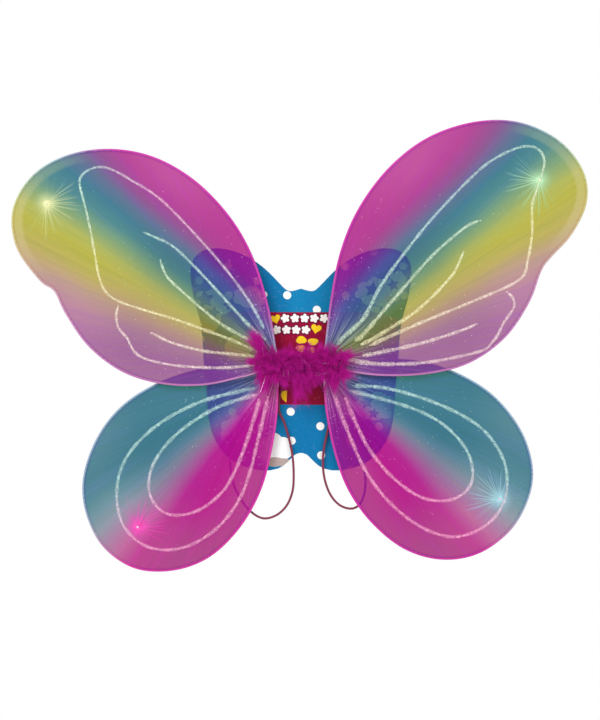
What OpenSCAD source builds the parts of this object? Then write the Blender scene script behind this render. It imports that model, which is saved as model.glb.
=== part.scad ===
/* [Wings] */
// Diameter of the spring wire inside each wing
wire_d = 1.8; // [1.4:0.1:2.0]
// Thickness of one layer of the wing fabric
fabric_t = 0.2; // [0.15:0.05:0.3]
// Front-to-back depth of a wing, outside the fabric
wing_depth = 3.2; // [3.0:0.1:3.4]
// Gap between the upper and the lower wings, front to back
layer_gap = 2.0; // [1.8:0.1:2.2]
// Width of a line of glitter
glitter_w = 2.4; // [1.6:0.1:3.2]
// Height of a line of glitter above the fabric
glitter_t = 0.4; // [0.2:0.1:0.4]

/* [Hub] */
// Distance of each fold line from the middle
fold_x = 12; // [11.5:0.5:13]
// Height of the tape-wrapped roots
root_h = 16; // [14:1:18]
// Half depth of the tape-wrapped roots
hub_y = 5.2; // [5.1:0.1:5.4]
// Height of the feather trim
trim_h = 42; // [36:1:46]
// Depth of the feather trim in front of the hub
trim_depth = 11; // [9:0.5:12]
// Half length of the feather trim
trim_reach = 44; // [38:1:46]

/* [Straps] */
// Diameter of the elastic arm straps
strap_d = 2; // [1.6:0.1:2.2]

/* [Display card] */
// Thickness of the card
card_t = 0.6; // [0.4:0.1:1.0]
// Distance of the card behind the middle of the hub
card_y = 9; // [8.8:0.1:9.6]
// Diameter of the loop tie that holds the card
tie_d = 1.2; // [0.8:0.1:1.2]

/* [Hidden] */

$fn = 48;
// Points added between two given points of a wing's edge, of a glitter line and of a strap
edge_steps = 4;
glitter_steps = 2;
strap_steps = 2;
// Sides of a swept wire or strap
tube_sides = 8;

// Front and back of each layer of wings
upper_y0 = -layer_gap / 2 - wing_depth;
upper_y1 = -layer_gap / 2;
lower_y0 = layer_gap / 2;
lower_y1 = layer_gap / 2 + wing_depth;
// Distance from the fabric's edge to the middle of the wire
wire_inset = fabric_t + wire_d / 2 + 0.2;

// Where each wing's wire ends are curled into an eye
upper_pivot = [18.5, 3];
lower_pivot = [18.5, -3];
eye_r = 3.6;
eye_bore_r = 1.4;
pin_r = 1.32;
eye_gap = 0.3;
drum_r = 5.6;
eye_t = 2.6;
sleeve_mouth_r = 9.8;
// Angle on each side of the wires that a root's mouth is open for
mouth_margin = 28;
wedge_r = 12;

// Clearance kept round a turning root, and the slope of a 60 degree fold's halfway plane
fold_gap = 0.4;
fold_slope = tan(30);
tuft_gap = 0.5;

// Edge of each wing, from the root round and back to the root: [across, up]
upper_left_edge = [
  [-20, 14], [-25, 43], [-37, 84], [-56, 119], [-85, 150], [-119, 170], [-155, 177], [-191, 172],
  [-220, 155], [-236, 127], [-233, 96], [-214, 69], [-202, 60], [-193, 42], [-174, 15], [-146, -6],
  [-113, -16], [-80, -17], [-50, -11], [-29, -5]
];
upper_right_edge = [
  [19, 14], [23, 48], [31, 90], [46, 127], [71, 161], [103, 186], [141, 199], [178, 199],
  [211, 184], [231, 159], [234, 133], [222, 107], [205, 88], [197, 77], [187, 51], [167, 22],
  [137, 1], [101, -8], [62, -9], [30, -4]
];
lower_left_edge = [
  [-18, -13], [-19, -40], [-24, -72], [-33, -104], [-50, -134], [-75, -158], [-105, -169], [-137, -167],
  [-163, -149], [-177, -121], [-179, -92], [-168, -60], [-148, -34], [-119, -15], [-84, -3], [-50, 1],
  [-29, 0]
];
lower_right_edge = [
  [18, -13], [20, -38], [27, -72], [38, -102], [57, -129], [84, -151], [115, -160], [146, -155],
  [173, -135], [188, -107], [190, -80], [179, -50], [155, -22], [121, -3], [86, 5], [54, 3],
  [29, 0]
];

// Where each wing's fabric is gathered and tied
upper_left_tie = [-208, 132];
upper_right_tie = [195, 151];
lower_left_tie = [-134, -133];
lower_right_tie = [163, -110];

// Lines of glitter on the front of each wing
upper_left_lines = [
  [[-30, 29], [-38, 45], [-52, 66], [-74, 93], [-112, 133], [-137, 150], [-158, 161], [-172, 160],
   [-181, 151], [-177, 132], [-172, 110], [-168, 88], [-163, 66], [-149, 52], [-105, 38], [-58, 21],
   [-36, 11]],
  [[-130, 109], [-116, 103], [-102, 95], [-77, 70], [-44, 34], [-29, 21]],
  [[-115, 86], [-110, 73], [-97, 60], [-66, 34], [-39, 19]],
  [[-149, 49], [-151, 41], [-149, 30], [-142, 22], [-137, 12], [-127, 5], [-105, 0], [-81, -2],
   [-58, -2], [-38, 0]],
  [[-123, 27], [-110, 20], [-95, 15], [-77, 11], [-56, 9], [-38, 7]]
];
upper_right_lines = [
  [[34, 22], [51, 38], [61, 57], [73, 76], [105, 117], [140, 154], [159, 169], [179, 178],
   [193, 177], [199, 166], [194, 147], [189, 130], [189, 108], [185, 84], [179, 70], [150, 56],
   [99, 35], [56, 16]],
  [[147, 118], [135, 113], [109, 91], [83, 62], [50, 24]],
  [[133, 93], [127, 79], [119, 68], [93, 43], [56, 20]],
  [[168, 60], [173, 55], [174, 47], [166, 35], [161, 25], [155, 17], [146, 11], [109, 3],
   [85, 1], [61, 1], [40, 4]],
  [[144, 34], [133, 29], [99, 18], [58, 9]]
];
lower_left_lines = [
  [[-38, -19], [-79, -29], [-116, -48], [-142, -74], [-151, -102], [-146, -131], [-126, -149],
   [-97, -150], [-68, -133], [-48, -105], [-37, -69], [-27, -26]],
  [[-35, -24], [-67, -34], [-100, -55], [-121, -81], [-124, -106], [-110, -122], [-86, -120],
   [-62, -101], [-46, -67], [-34, -28]]
];
lower_right_lines = [
  [[42, -17], [70, -19], [110, -31], [147, -51], [167, -80], [167, -111], [151, -132], [125, -141],
   [97, -132], [71, -111], [51, -83], [34, -43], [27, -22]],
  [[40, -21], [87, -34], [117, -49], [137, -72], [140, -96], [125, -110], [100, -109], [74, -91],
   [53, -64], [36, -26]]
];

// Knots that the arm straps are tied in, and the route of each strap: [across, up]
knot_r = 3.4;
knot_depth = 3.2;
knot_x = 4.5;
knot_z = -2;
strap_y = hub_y + 1.4;
strap_left_route = [
  [-6, -4], [-10, -10], [-15, -18], [-18, -28], [-18, -38], [-14, -47], [-10, -60], [-7, -75],
  [-6, -90], [-7, -104], [-12, -116], [-21, -124], [-32, -126], [-43, -119], [-52, -106], [-57, -92],
  [-58, -76], [-54, -58], [-46, -41], [-34, -25], [-20, -11], [-8, -2]
];
strap_right_route = [
  [6, -4], [11, -9], [17, -17], [22, -28], [24, -40], [22, -54], [19, -68], [18, -82],
  [20, -96], [25, -108], [33, -116], [43, -118], [50, -112], [53, -99], [52, -84], [49, -68],
  [45, -52], [38, -36], [29, -22], [18, -10], [8, -2]
];

// Right half of the card's edge, from the top middle to the bottom middle
card_half_edge = [
  [0, 63], [5, 61.5], [10, 61], [15, 64.5], [26, 76], [37, 85], [49, 91.5], [62, 95.5],
  [74, 96], [84, 92.5], [90, 84], [91, 72], [88, 54], [83, 36], [81, 18], [80, 0],
  [78, -18], [77, -36], [74, -54], [65, -71], [51, -82], [33, -87], [19, -85.5], [11, -80],
  [5, -74], [0, -72.5]
];
tie_z = root_h / 2 + tie_d / 2 + 0.2;
tie_front_y = -hub_y - tie_d / 2;
tie_back_y = card_y + card_t + tie_d / 2;

// A point between b and c on the smooth curve through a, b, c and d
function between(a, b, c, d, t) =
  0.5 * (2 * b + (c - a) * t + (2 * a - 5 * b + 4 * c - d) * t * t + (3 * b - a - 3 * c + d) * t * t * t);
// The smooth open curve through a list of points
function smooth(p, steps) = let (last = len(p) - 1) [
  for (i = [0 : last - 1])
    for (k = [0 : steps - 1])
      between(p[max(i - 1, 0)], p[i], p[i + 1], p[min(i + 2, last)], k / steps),
  p[last]
];
// Direction along a curve at one of its points
function heading(p, i) =
  let (run = p[min(i + 1, len(p) - 1)] - p[max(i - 1, 0)]) run / norm(run);
// The same curve moved sideways, to the left of its run when the distance is positive
function beside(p, distance) = [
  for (i = [0 : len(p) - 1]) let (h = heading(p, i)) p[i] + distance * [-h[1], h[0]]
];
function reversed(p) = [for (i = [len(p) - 1 : -1 : 0]) p[i]];
function mirrored(p) = [for (q = p) [-q[0], q[1]]];
function angle_to(from, to) = atan2(to[1] - from[1], to[0] - from[0]);
// Rings of a tube swept along a curve that stays at one depth
function rings(p, y, r) = [
  for (i = [0 : len(p) - 1])
    let (h = heading(p, i), side = [-h[1], h[0]])
      for (k = [0 : tube_sides - 1])
        let (a = 360 * (k + 0.5) / tube_sides)
          [p[i][0] + r * cos(a) * side[0], y + r * sin(a), p[i][1] + r * cos(a) * side[1]]
];

// A tube along a curve, with flat ends
module tube(p, y, r) {
  n = len(p);
  walls = [
    for (i = [0 : n - 2])
      for (k = [0 : tube_sides - 1])
        let (a = i * tube_sides + k, b = i * tube_sides + (k + 1) % tube_sides)
          [a, b, b + tube_sides, a + tube_sides]
  ];
  first = [for (k = [tube_sides - 1 : -1 : 0]) k];
  last = [for (k = [0 : tube_sides - 1]) (n - 1) * tube_sides + k];
  polyhedron(rings(p, y, r), concat([first], walls, [last]), convexity = 10);
}

// A flat outline in the wings' plane, given depth from y0 to y1
module slab(y0, y1) {
  translate([0, y1, 0])
    rotate([90, 0, 0])
      linear_extrude(y1 - y0)
        children();
}

// A round post along the depth, from y0 to y1
module post(at, r, y0, y1) {
  slab(y0, y1)
    translate(at)
      circle(r);
}

// The wire loop of a wing, with both ends run into its eye; side is 1 where the edge turns clockwise
module frame(edge, side, pivot, y0, y1) {
  inner = beside(smooth(edge, edge_steps), -side * wire_inset);
  from = pivot + (eye_r - 0.9) * (inner[0] - pivot) / norm(inner[0] - pivot);
  end = inner[len(inner) - 1];
  to = pivot + (eye_r - 0.9) * (end - pivot) / norm(end - pivot);
  color("gainsboro")
    tube(concat([from], inner, [to]), (y0 + y1) / 2, wire_d / 2);
}

// The fabric bag drawn over the wire loop, open at the root
module sleeve(edge, side, pivot, y0, y1, tint) {
  outer = smooth(edge, edge_steps);
  color(tint)
    difference() {
      slab(y0, y1) polygon(concat([pivot], outer));
      slab(y0 + fabric_t, y1 - fabric_t) polygon(concat([pivot], beside(outer, -side * fabric_t)));
      post(pivot, sleeve_mouth_r, y0 - 1, y1 + 1);
    }
}

// The thread-tied gather on the front of a wing
module gather(at, y0) {
  color("white")
    translate([at[0], y0, at[1]])
      rotate([90, 0, 0])
        rotate_extrude()
          polygon([[0, 0], [2.4, 0], [2.2, 0.4], [1.5, 0.8], [0.7, 1.0], [0, 1.0]]);
}

// The lines of glitter glue on the front of a wing
module glitter(lines, y0) {
  color("lavender")
    slab(y0 - glitter_t, y0)
      for (line = lines) {
        path = smooth(line, glitter_steps);
        polygon(concat(beside(path, glitter_w / 2), reversed(beside(path, -glitter_w / 2))));
      }
}

// The curled ends of a wing's wire, bound into a round eye
module eye(pivot, y0, y1) {
  mid = (y0 + y1) / 2;
  color("ghostwhite")
    difference() {
      post(pivot, eye_r, mid - eye_t / 2, mid + eye_t / 2);
      post(pivot, eye_bore_r, mid - eye_t, mid + eye_t);
    }
}

// The room that a wing's eye and wires need inside a root wrap
module eye_room(edge, pivot, y0, y1) {
  mid = (y0 + y1) / 2;
  half = eye_t / 2 + eye_gap;
  first = angle_to(pivot, edge[0]);
  last = angle_to(pivot, edge[len(edge) - 1]);
  turn = (last - first + 540) % 360 - 180;
  low = turn > 0 ? first : last;
  difference() {
    union() {
      post(pivot, eye_r + eye_gap, mid - half, mid + half);
      slab(mid - half, mid + half)
        polygon(concat([pivot], [
          for (k = [0 : 6])
            let (a = low - mouth_margin + (abs(turn) + 2 * mouth_margin) * k / 6)
              pivot + wedge_r * [cos(a), sin(a)]
        ]));
    }
    post(pivot, pin_r, mid - half - 1, mid + half + 1);
  }
}

// One side's tape-wrapped root: it turns about the fold line and holds both wings of its side
module root_wrap(side, upper_edge, lower_edge) {
  upper = [side * upper_pivot[0], upper_pivot[1]];
  lower = [side * lower_pivot[0], lower_pivot[1]];
  web_x = upper_pivot[0] - fold_x;
  color("mediumvioletred")
    difference() {
      union() {
        translate([side * fold_x, 0, -root_h / 2]) cylinder(r = hub_y, h = root_h);
        post(upper, drum_r, -hub_y, 0);
        post(lower, drum_r, 0, hub_y);
        translate([side * fold_x - (side < 0 ? web_x : 0), -hub_y, -root_h / 2])
          cube([web_x, 2 * hub_y, root_h]);
      }
      eye_room(upper_edge, upper, upper_y0, upper_y1);
      eye_room(lower_edge, lower, lower_y0, lower_y1);
    }
}

// The space that the two turning roots sweep
module fold_room() {
  for (side = [-1, 1])
    translate([side * fold_x, 0, -root_h])
      cylinder(r = norm([hub_y * fold_slope, hub_y]) + fold_gap, h = 2 * root_h);
}

// The twisted wire bar that joins the two sides
module centre_bar() {
  color("silver")
    difference() {
      translate([-fold_x, -hub_y + 1, -root_h / 2 + 1]) cube([2 * fold_x, 2 * hub_y - 2, root_h - 2]);
      fold_room();
    }
}

// The tape wound round the bar
module centre_wrap() {
  color("mediumvioletred")
    difference() {
      translate([-fold_x, -hub_y, -root_h / 2]) cube([2 * fold_x, 2 * hub_y, root_h]);
      translate([-fold_x, -hub_y + 1, -root_h / 2 + 1]) cube([2 * fold_x, 2 * hub_y - 2, root_h - 2]);
      fold_room();
    }
}

// The feather trim's middle length, cut to leave room for the two outer lengths as they fold
module marabou_centre() {
  back = fold_x - hub_y * fold_slope - tuft_gap;
  front = fold_x - (hub_y + trim_depth) * fold_slope - tuft_gap;
  color("deeppink")
    difference() {
      translate([0, 0, -trim_h / 2])
        linear_extrude(trim_h)
          polygon([[-back, -hub_y], [-front, -hub_y - trim_depth], [front, -hub_y - trim_depth], [back, -hub_y]]);
      fold_room();
      translate([-tie_d, tie_front_y - tie_d, -tie_z - tie_d])
        cube([2 * tie_d, 2 * tie_d, 2 * (tie_z + tie_d)]);
    }
}

// One of the feather trim's outer lengths
module marabou_side(side) {
  back = fold_x + hub_y * fold_slope + tuft_gap;
  front = fold_x + (hub_y + trim_depth) * fold_slope + tuft_gap;
  outline = [
    [back, -hub_y], [front, -hub_y - trim_depth], [trim_reach - 8, -hub_y - trim_depth],
    [trim_reach, -hub_y - trim_depth / 2], [trim_reach, -hub_y]
  ];
  color("deeppink")
    translate([0, 0, -trim_h / 2])
      linear_extrude(trim_h)
        polygon([for (q = outline) [side * q[0], q[1]]]);
}

// One elastic arm strap, hanging in a loop from the hub
module strap(route) {
  color("maroon")
    tube(smooth(route, strap_steps), strap_y, strap_d / 2);
}

// The knot that both ends of a strap are tied in
module strap_knot(side) {
  color("maroon")
    translate([side * knot_x, hub_y, knot_z])
      rotate([-90, 0, 0])
        rotate_extrude()
          polygon([[0, 0], [2.6, 0], [knot_r, 0.8], [knot_r, 2.2], [2.4, knot_depth], [0, knot_depth]]);
}

// The shaped display card behind the wings
module display_card() {
  half = smooth(card_half_edge, 2);
  color("steelblue")
    difference() {
      slab(card_y, card_y + card_t)
        polygon(concat(half, reversed(mirrored(half))));
      for (z = [-tie_z, tie_z])
        post([0, z], tie_d / 2 + 0.1, card_y - 1, card_y + card_t + 1);
    }
}

// The clear loop that ties the hub to the card
module card_tie() {
  color("whitesmoke")
    union() {
      for (z = [-tie_z, tie_z])
        post([0, z], tie_d / 2, tie_front_y, tie_back_y);
      for (y = [tie_front_y, tie_back_y])
        translate([0, y, -tie_z])
          cylinder(d = tie_d, h = 2 * tie_z);
      for (y = [tie_front_y, tie_back_y], z = [-tie_z, tie_z])
        translate([0, y, z])
          sphere(d = tie_d);
    }
}

upper_left_pivot = [-upper_pivot[0], upper_pivot[1]];
lower_left_pivot = [-lower_pivot[0], lower_pivot[1]];

frame(upper_left_edge, -1, upper_left_pivot, upper_y0, upper_y1);  // upper_left_frame
sleeve(upper_left_edge, -1, upper_left_pivot, upper_y0, upper_y1, "hotpink");  // upper_left_sleeve
gather(upper_left_tie, upper_y0);  // upper_left_gather
glitter(upper_left_lines, upper_y0);  // upper_left_glitter
eye(upper_left_pivot, upper_y0, upper_y1);  // upper_left_eye
frame(upper_right_edge, 1, upper_pivot, upper_y0, upper_y1);  // upper_right_frame
sleeve(upper_right_edge, 1, upper_pivot, upper_y0, upper_y1, "gold");  // upper_right_sleeve
gather(upper_right_tie, upper_y0);  // upper_right_gather
glitter(upper_right_lines, upper_y0);  // upper_right_glitter
eye(upper_pivot, upper_y0, upper_y1);  // upper_right_eye
frame(lower_left_edge, 1, lower_left_pivot, lower_y0, lower_y1);  // lower_left_frame
sleeve(lower_left_edge, 1, lower_left_pivot, lower_y0, lower_y1, "teal");  // lower_left_sleeve
gather(lower_left_tie, lower_y0);  // lower_left_gather
glitter(lower_left_lines, lower_y0);  // lower_left_glitter
eye(lower_left_pivot, lower_y0, lower_y1);  // lower_left_eye
frame(lower_right_edge, -1, lower_pivot, lower_y0, lower_y1);  // lower_right_frame
sleeve(lower_right_edge, -1, lower_pivot, lower_y0, lower_y1, "teal");  // lower_right_sleeve
gather(lower_right_tie, lower_y0);  // lower_right_gather
glitter(lower_right_lines, lower_y0);  // lower_right_glitter
eye(lower_pivot, lower_y0, lower_y1);  // lower_right_eye
root_wrap(-1, upper_left_edge, lower_left_edge);  // left_root_wrap
root_wrap(1, upper_right_edge, lower_right_edge);  // right_root_wrap
centre_bar();
centre_wrap();
marabou_side(-1);  // marabou_left
marabou_centre();
marabou_side(1);  // marabou_right
strap(strap_left_route);  // strap_left
strap(strap_right_route);  // strap_right
strap_knot(-1);  // strap_knot_left
strap_knot(1);  // strap_knot_right
display_card();
card_tie();
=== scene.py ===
"""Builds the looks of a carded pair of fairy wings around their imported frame."""

import logging
import math
from dataclasses import dataclass, field
from enum import Enum
from functools import lru_cache
from typing import Optional, Sequence, Union

import bmesh
import bpy
import numpy as np
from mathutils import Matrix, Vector


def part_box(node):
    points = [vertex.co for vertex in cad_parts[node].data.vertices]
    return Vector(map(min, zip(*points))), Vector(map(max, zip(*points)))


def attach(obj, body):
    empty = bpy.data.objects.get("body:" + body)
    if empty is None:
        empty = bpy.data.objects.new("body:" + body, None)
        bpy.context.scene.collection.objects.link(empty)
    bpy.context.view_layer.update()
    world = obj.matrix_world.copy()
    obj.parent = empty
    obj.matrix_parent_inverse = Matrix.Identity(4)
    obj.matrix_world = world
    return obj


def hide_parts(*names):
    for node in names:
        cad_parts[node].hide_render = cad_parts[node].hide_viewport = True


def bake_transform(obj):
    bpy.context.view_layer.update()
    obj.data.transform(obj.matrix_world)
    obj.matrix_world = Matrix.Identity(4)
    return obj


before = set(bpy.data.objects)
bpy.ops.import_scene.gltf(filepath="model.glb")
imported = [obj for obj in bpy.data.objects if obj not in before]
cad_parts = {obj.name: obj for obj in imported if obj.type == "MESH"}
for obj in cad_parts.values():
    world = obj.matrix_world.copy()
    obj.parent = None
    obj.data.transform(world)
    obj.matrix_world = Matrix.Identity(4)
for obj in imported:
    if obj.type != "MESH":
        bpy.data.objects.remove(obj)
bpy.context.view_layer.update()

log = logging.getLogger("fairy_wings")
MM = 0.001
Points = np.ndarray
Socket = bpy.types.NodeSocket
Value = Union[float, Socket]
Colour = tuple[float, float, float]
Stops = Sequence[tuple[float, Colour]]
Bands = Sequence[tuple[float, Colour, Colour]]


# ---------------------------------------------------------------- small tools

def linear(colour: Colour) -> Colour:
    """Turns a screen colour, 0 to 255 a channel, into the light that it stands for.

    Args:
        colour: Red, green and blue as a painter mixes them on a screen.

    Returns:
        The same colour in linear light, 0 to 1 a channel.
    """
    def channel(c: float) -> float:
        c = c / 255
        return c / 12.92 if c <= 0.04045 else ((c + 0.055) / 1.055) ** 2.4
    return tuple(channel(c) for c in colour)


def smooth_curve(points: Points, steps: int) -> Points:
    """Runs a smooth open curve through given points.

    Args:
        points: One row per point, in two or three axes.
        steps: How many points replace each given one.

    Returns:
        The points of the curve, the last given one included.
    """
    p = np.vstack([points[:1], points, points[-1:]])
    t = np.arange(steps)[:, None] / steps
    rows = [
        0.5 * (2 * b + (c - a) * t + (2 * a - 5 * b + 4 * c - d) * t**2 + (3 * b - a - 3 * c + d) * t**3)
        for a, b, c, d in zip(p, p[1:], p[2:], p[3:])
    ]
    return np.vstack(rows + [points[-1:]])


def arc_length(points: Points) -> Points:
    """Returns how far along a curve each of its points lies."""
    return np.r_[0, np.cumsum(np.linalg.norm(np.diff(points, axis=0), axis=1))]


def along(points: Points, distances: Points) -> Points:
    """Returns the points of a curve at given distances along it."""
    length = arc_length(points)
    return np.column_stack([np.interp(distances, length, column) for column in points.T])


def even_steps(weights: Points, count: int) -> Points:
    """Spreads samples over 0 to 1 so that they stand closer where the weights are higher.

    Args:
        weights: The wanted density at evenly spaced places from 0 to 1.
        count: How many samples to spread.

    Returns:
        The samples in order, from 0 to 1.
    """
    total = np.r_[0, np.cumsum((weights[1:] + weights[:-1]) / 2)]
    return np.interp(np.linspace(0, total[-1], count), total, np.linspace(0, 1, len(weights)))


def grid_quads(rows: int, columns: int, closed: bool = False) -> Points:
    """Returns the faces of a grid whose points are stored row by row.

    Args:
        rows: Number of rows of points.
        columns: Number of points in a row.
        closed: Whether the last column joins the first.
    """
    across = columns if closed else columns - 1
    i, j = np.meshgrid(np.arange(rows - 1), np.arange(across), indexing="ij")
    k = (j + 1) % columns
    quads = [i * columns + j, i * columns + k, (i + 1) * columns + k, (i + 1) * columns + j]
    return np.stack(quads, -1).reshape(-1, 4)


def surface(name: str, points: Points, quads: Points, uv: Optional[Points] = None) -> bpy.types.Object:
    """Makes a smooth-shaded piece from its points and faces.

    Args:
        name: The piece's name.
        points: One row per vertex, in metres.
        quads: One row of vertex numbers per face.
        uv: One row per vertex for the piece's UV map.

    Returns:
        The new object, at the origin.
    """
    mesh = bpy.data.meshes.new(name)
    mesh.from_pydata(points.tolist(), [], quads.tolist())
    mesh.polygons.foreach_set("use_smooth", np.ones(len(mesh.polygons), bool))
    if uv is not None:
        corner = np.zeros(len(mesh.loops), np.int32)
        mesh.loops.foreach_get("vertex_index", corner)
        mesh.uv_layers.new(name="UVMap").data.foreach_set("uv", uv[corner].astype(np.float32).ravel())
    mesh.update()
    piece = bpy.data.objects.new(name, mesh)
    bpy.context.scene.collection.objects.link(piece)
    return piece


def tube(centres: Points, radii: Points, sides: int, across: Vector) -> tuple[Points, Points, Points]:
    """Sweeps a round section along a curve.

    Args:
        centres: The curve.
        radii: A radius for each ring and side, or for each ring.
        sides: Points round the section.
        across: A direction that the curve never runs along.

    Returns:
        The points, the faces, and a UV row for each point: share of the turn, and metres along.
    """
    run = np.gradient(centres, axis=0)
    run /= np.linalg.norm(run, axis=1)[:, None]
    side = np.cross(np.array(across), run)
    side /= np.linalg.norm(side, axis=1)[:, None]
    rise = np.cross(run, side)
    turn = np.linspace(0, 2 * math.pi, sides, endpoint=False)
    radii = np.broadcast_to(radii if radii.ndim == 2 else radii[:, None], (len(centres), sides))
    ring = side[:, None] * np.cos(turn)[:, None] + rise[:, None] * np.sin(turn)[:, None]
    points = centres[:, None] + ring * radii[..., None]
    uv = np.stack(np.broadcast_arrays(turn / (2 * math.pi), arc_length(centres)[:, None]), -1)
    return points.reshape(-1, 3), grid_quads(len(centres), sides, closed=True), uv.reshape(-1, 2)


def join(parts: Sequence[tuple[Points, Points]]) -> tuple[Points, Points]:
    """Puts several sets of points and faces together as one."""
    starts = np.r_[0, np.cumsum([len(p) for p, _ in parts])]
    return np.vstack([p for p, _ in parts]), np.vstack([q + s for (_, q), s in zip(parts, starts)])


def apply_all(piece: bpy.types.Object) -> bpy.types.Object:
    """Applies a piece's modifiers and moves its place into its mesh."""
    bpy.ops.object.select_all(action="DESELECT")
    piece.select_set(True)
    bpy.context.view_layer.objects.active = piece
    for modifier in list(piece.modifiers):
        bpy.ops.object.modifier_apply(modifier=modifier.name)
    bpy.ops.object.transform_apply(location=True, rotation=True, scale=True)
    return piece


def join_pieces(name: str, pieces: Sequence[bpy.types.Object]) -> bpy.types.Object:
    """Joins several objects into one and names it."""
    bpy.ops.object.select_all(action="DESELECT")
    for piece in pieces:
        piece.select_set(True)
    bpy.context.view_layer.objects.active = pieces[0]
    if len(pieces) > 1:
        bpy.ops.object.join()
    pieces[0].name = name
    pieces[0].data.name = name
    return pieces[0]


def set_material(piece: bpy.types.Object, *materials: bpy.types.Material) -> None:
    """Gives a piece its materials, one slot each."""
    piece.data.materials.clear()
    for material in materials:
        piece.data.materials.append(material)


def dress(node: str, material: bpy.types.Material) -> None:
    """Gives a CAD node a better material in place of its packed one."""
    set_material(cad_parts[node], material)


def settle(piece: bpy.types.Object, body: str, slot: str, *nodes: str) -> bpy.types.Object:
    """Makes a finished piece ride on a body and stand for CAD nodes.

    Args:
        piece: The finished piece.
        body: The body that it moves with.
        slot: Not used.
        nodes: The CAD nodes that it stands for.

    Returns:
        The same piece.
    """
    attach(piece, body)
    if nodes:
        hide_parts(*nodes)
    log.info("%s: %d faces on %s", piece.name, len(piece.data.polygons), body)
    return piece


# ---------------------------------------------------------------- shader wiring

class Wiring:
    """A short way to place and join shader nodes in one tree."""

    def __init__(self, tree: bpy.types.NodeTree) -> None:
        """Keeps the tree that the nodes go into."""
        self.tree = tree

    def add(self, kind: str, **inputs: object) -> bpy.types.Node:
        """Places a node and fills or links its inputs.

        Args:
            kind: The node type's name without its ShaderNode prefix.
            inputs: Values or sockets, named as the inputs are with _ for a space.

        Returns:
            The new node.
        """
        node = self.tree.nodes.new("ShaderNode" + kind)
        for key, value in inputs.items():
            self.put(node.inputs[key.replace("_", " ")], value)
        return node

    def put(self, socket: Socket, value: object) -> None:
        """Links a socket to an input, or sets the input's own value."""
        if isinstance(value, bpy.types.NodeSocket):
            self.tree.links.new(value, socket)
        elif isinstance(value, tuple) and len(value) == 3 and socket.type == "RGBA":
            socket.default_value = (*value, 1)
        else:
            socket.default_value = value

    def math(self, operation: str, a: Value, b: Value = 0.0, clamp: bool = False) -> Socket:
        """Returns the result of a Math node."""
        node = self.tree.nodes.new("ShaderNodeMath")
        node.operation = operation
        node.use_clamp = clamp
        self.put(node.inputs[0], a)
        self.put(node.inputs[1], b)
        return node.outputs[0]

    def scaled(self, value: Value, factor: float, offset: float = 0.0, clamp: bool = False) -> Socket:
        """Returns a value times a factor plus an offset."""
        node = self.tree.nodes.new("ShaderNodeMath")
        node.operation = "MULTIPLY_ADD"
        node.use_clamp = clamp
        for socket, v in zip(node.inputs, (value, factor, offset)):
            self.put(socket, v)
        return node.outputs[0]

    def step(self, value: Value, low: float, high: float) -> Socket:
        """Returns 0 below low, 1 above high, and a smooth rise between them; low may be above high."""
        node = self.tree.nodes.new("ShaderNodeMapRange")
        node.interpolation_type = "SMOOTHSTEP"
        for socket, v in zip(node.inputs, (value, low, high, 0.0, 1.0)):
            self.put(socket, v)
        return node.outputs[0]

    def mix(self, factor: Value, a: object, b: object, blend: str = "MIX") -> Socket:
        """Returns the mix of two colours."""
        node = self.tree.nodes.new("ShaderNodeMix")
        node.data_type = "RGBA"
        node.blend_type = blend
        for socket, v in zip((node.inputs[0], node.inputs[6], node.inputs[7]), (factor, a, b)):
            self.put(socket, v)
        return node.outputs[2]

    def ramp(self, factor: Value, stops: Stops, smooth: bool = False) -> Socket:
        """Returns the colour that a value meets along a row of stops."""
        node = self.add("ValToRGB", Fac=factor)
        ramp = node.color_ramp
        ramp.interpolation = "EASE" if smooth else "LINEAR"
        while len(ramp.elements) < len(stops):
            ramp.elements.new(0.5)
        for element, (place, colour) in zip(ramp.elements, stops):
            element.position = place
            element.color = (*colour, 1)
        return node.outputs[0]

    def place(self) -> Socket:
        """Returns the Object coordinates."""
        return self.add("TexCoord").outputs["Object"]

    def uv(self) -> Socket:
        """Returns the piece's own UV coordinates."""
        return self.add("UVMap").outputs[0]

    def split(self, vector: Socket) -> tuple[Socket, Socket, Socket]:
        """Returns the three parts of a vector."""
        out = self.add("SeparateXYZ", Vector=vector).outputs
        return out[0], out[1], out[2]

    def vector(self, x: Value, y: Value, z: Value = 0.0) -> Socket:
        """Returns a vector made of three values."""
        return self.add("CombineXYZ", X=x, Y=y, Z=z).outputs[0]

    def noise(self, vector: Socket, scale: float, detail: float = 2.0) -> Socket:
        """Returns a noise value from 0 to 1."""
        return self.add("TexNoise", Vector=vector, Scale=scale, Detail=detail).outputs[0]

    def group(self, tree: bpy.types.NodeTree, **inputs: object) -> bpy.types.Node:
        """Places a node group and fills its inputs."""
        node = self.tree.nodes.new("ShaderNodeGroup")
        node.node_tree = tree
        for key, value in inputs.items():
            self.put(node.inputs[key.replace("_", " ")], value)
        return node

    def bump(self, height: Socket, strength: float, distance: float) -> Socket:
        """Returns a normal tilted by a height that is given in shares of a distance in metres."""
        return self.add("Bump", Height=height, Strength=strength, Distance=distance).outputs[0]


def new_effect(
    name: str, inputs: Sequence[str], outputs: Sequence[str],
) -> tuple[bpy.types.NodeTree, Wiring]:
    """Starts a shader node group with named sockets; Vector and Centre are vectors, the rest are values."""
    tree = bpy.data.node_groups.new(name, "ShaderNodeTree")
    for key in inputs:
        kind = "NodeSocketVector" if key in ("Vector", "Centre") else "NodeSocketFloat"
        tree.interface.new_socket(key, in_out="INPUT", socket_type=kind)
    for key in outputs:
        tree.interface.new_socket(key, in_out="OUTPUT", socket_type="NodeSocketFloat")
    return tree, Wiring(tree)


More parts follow.
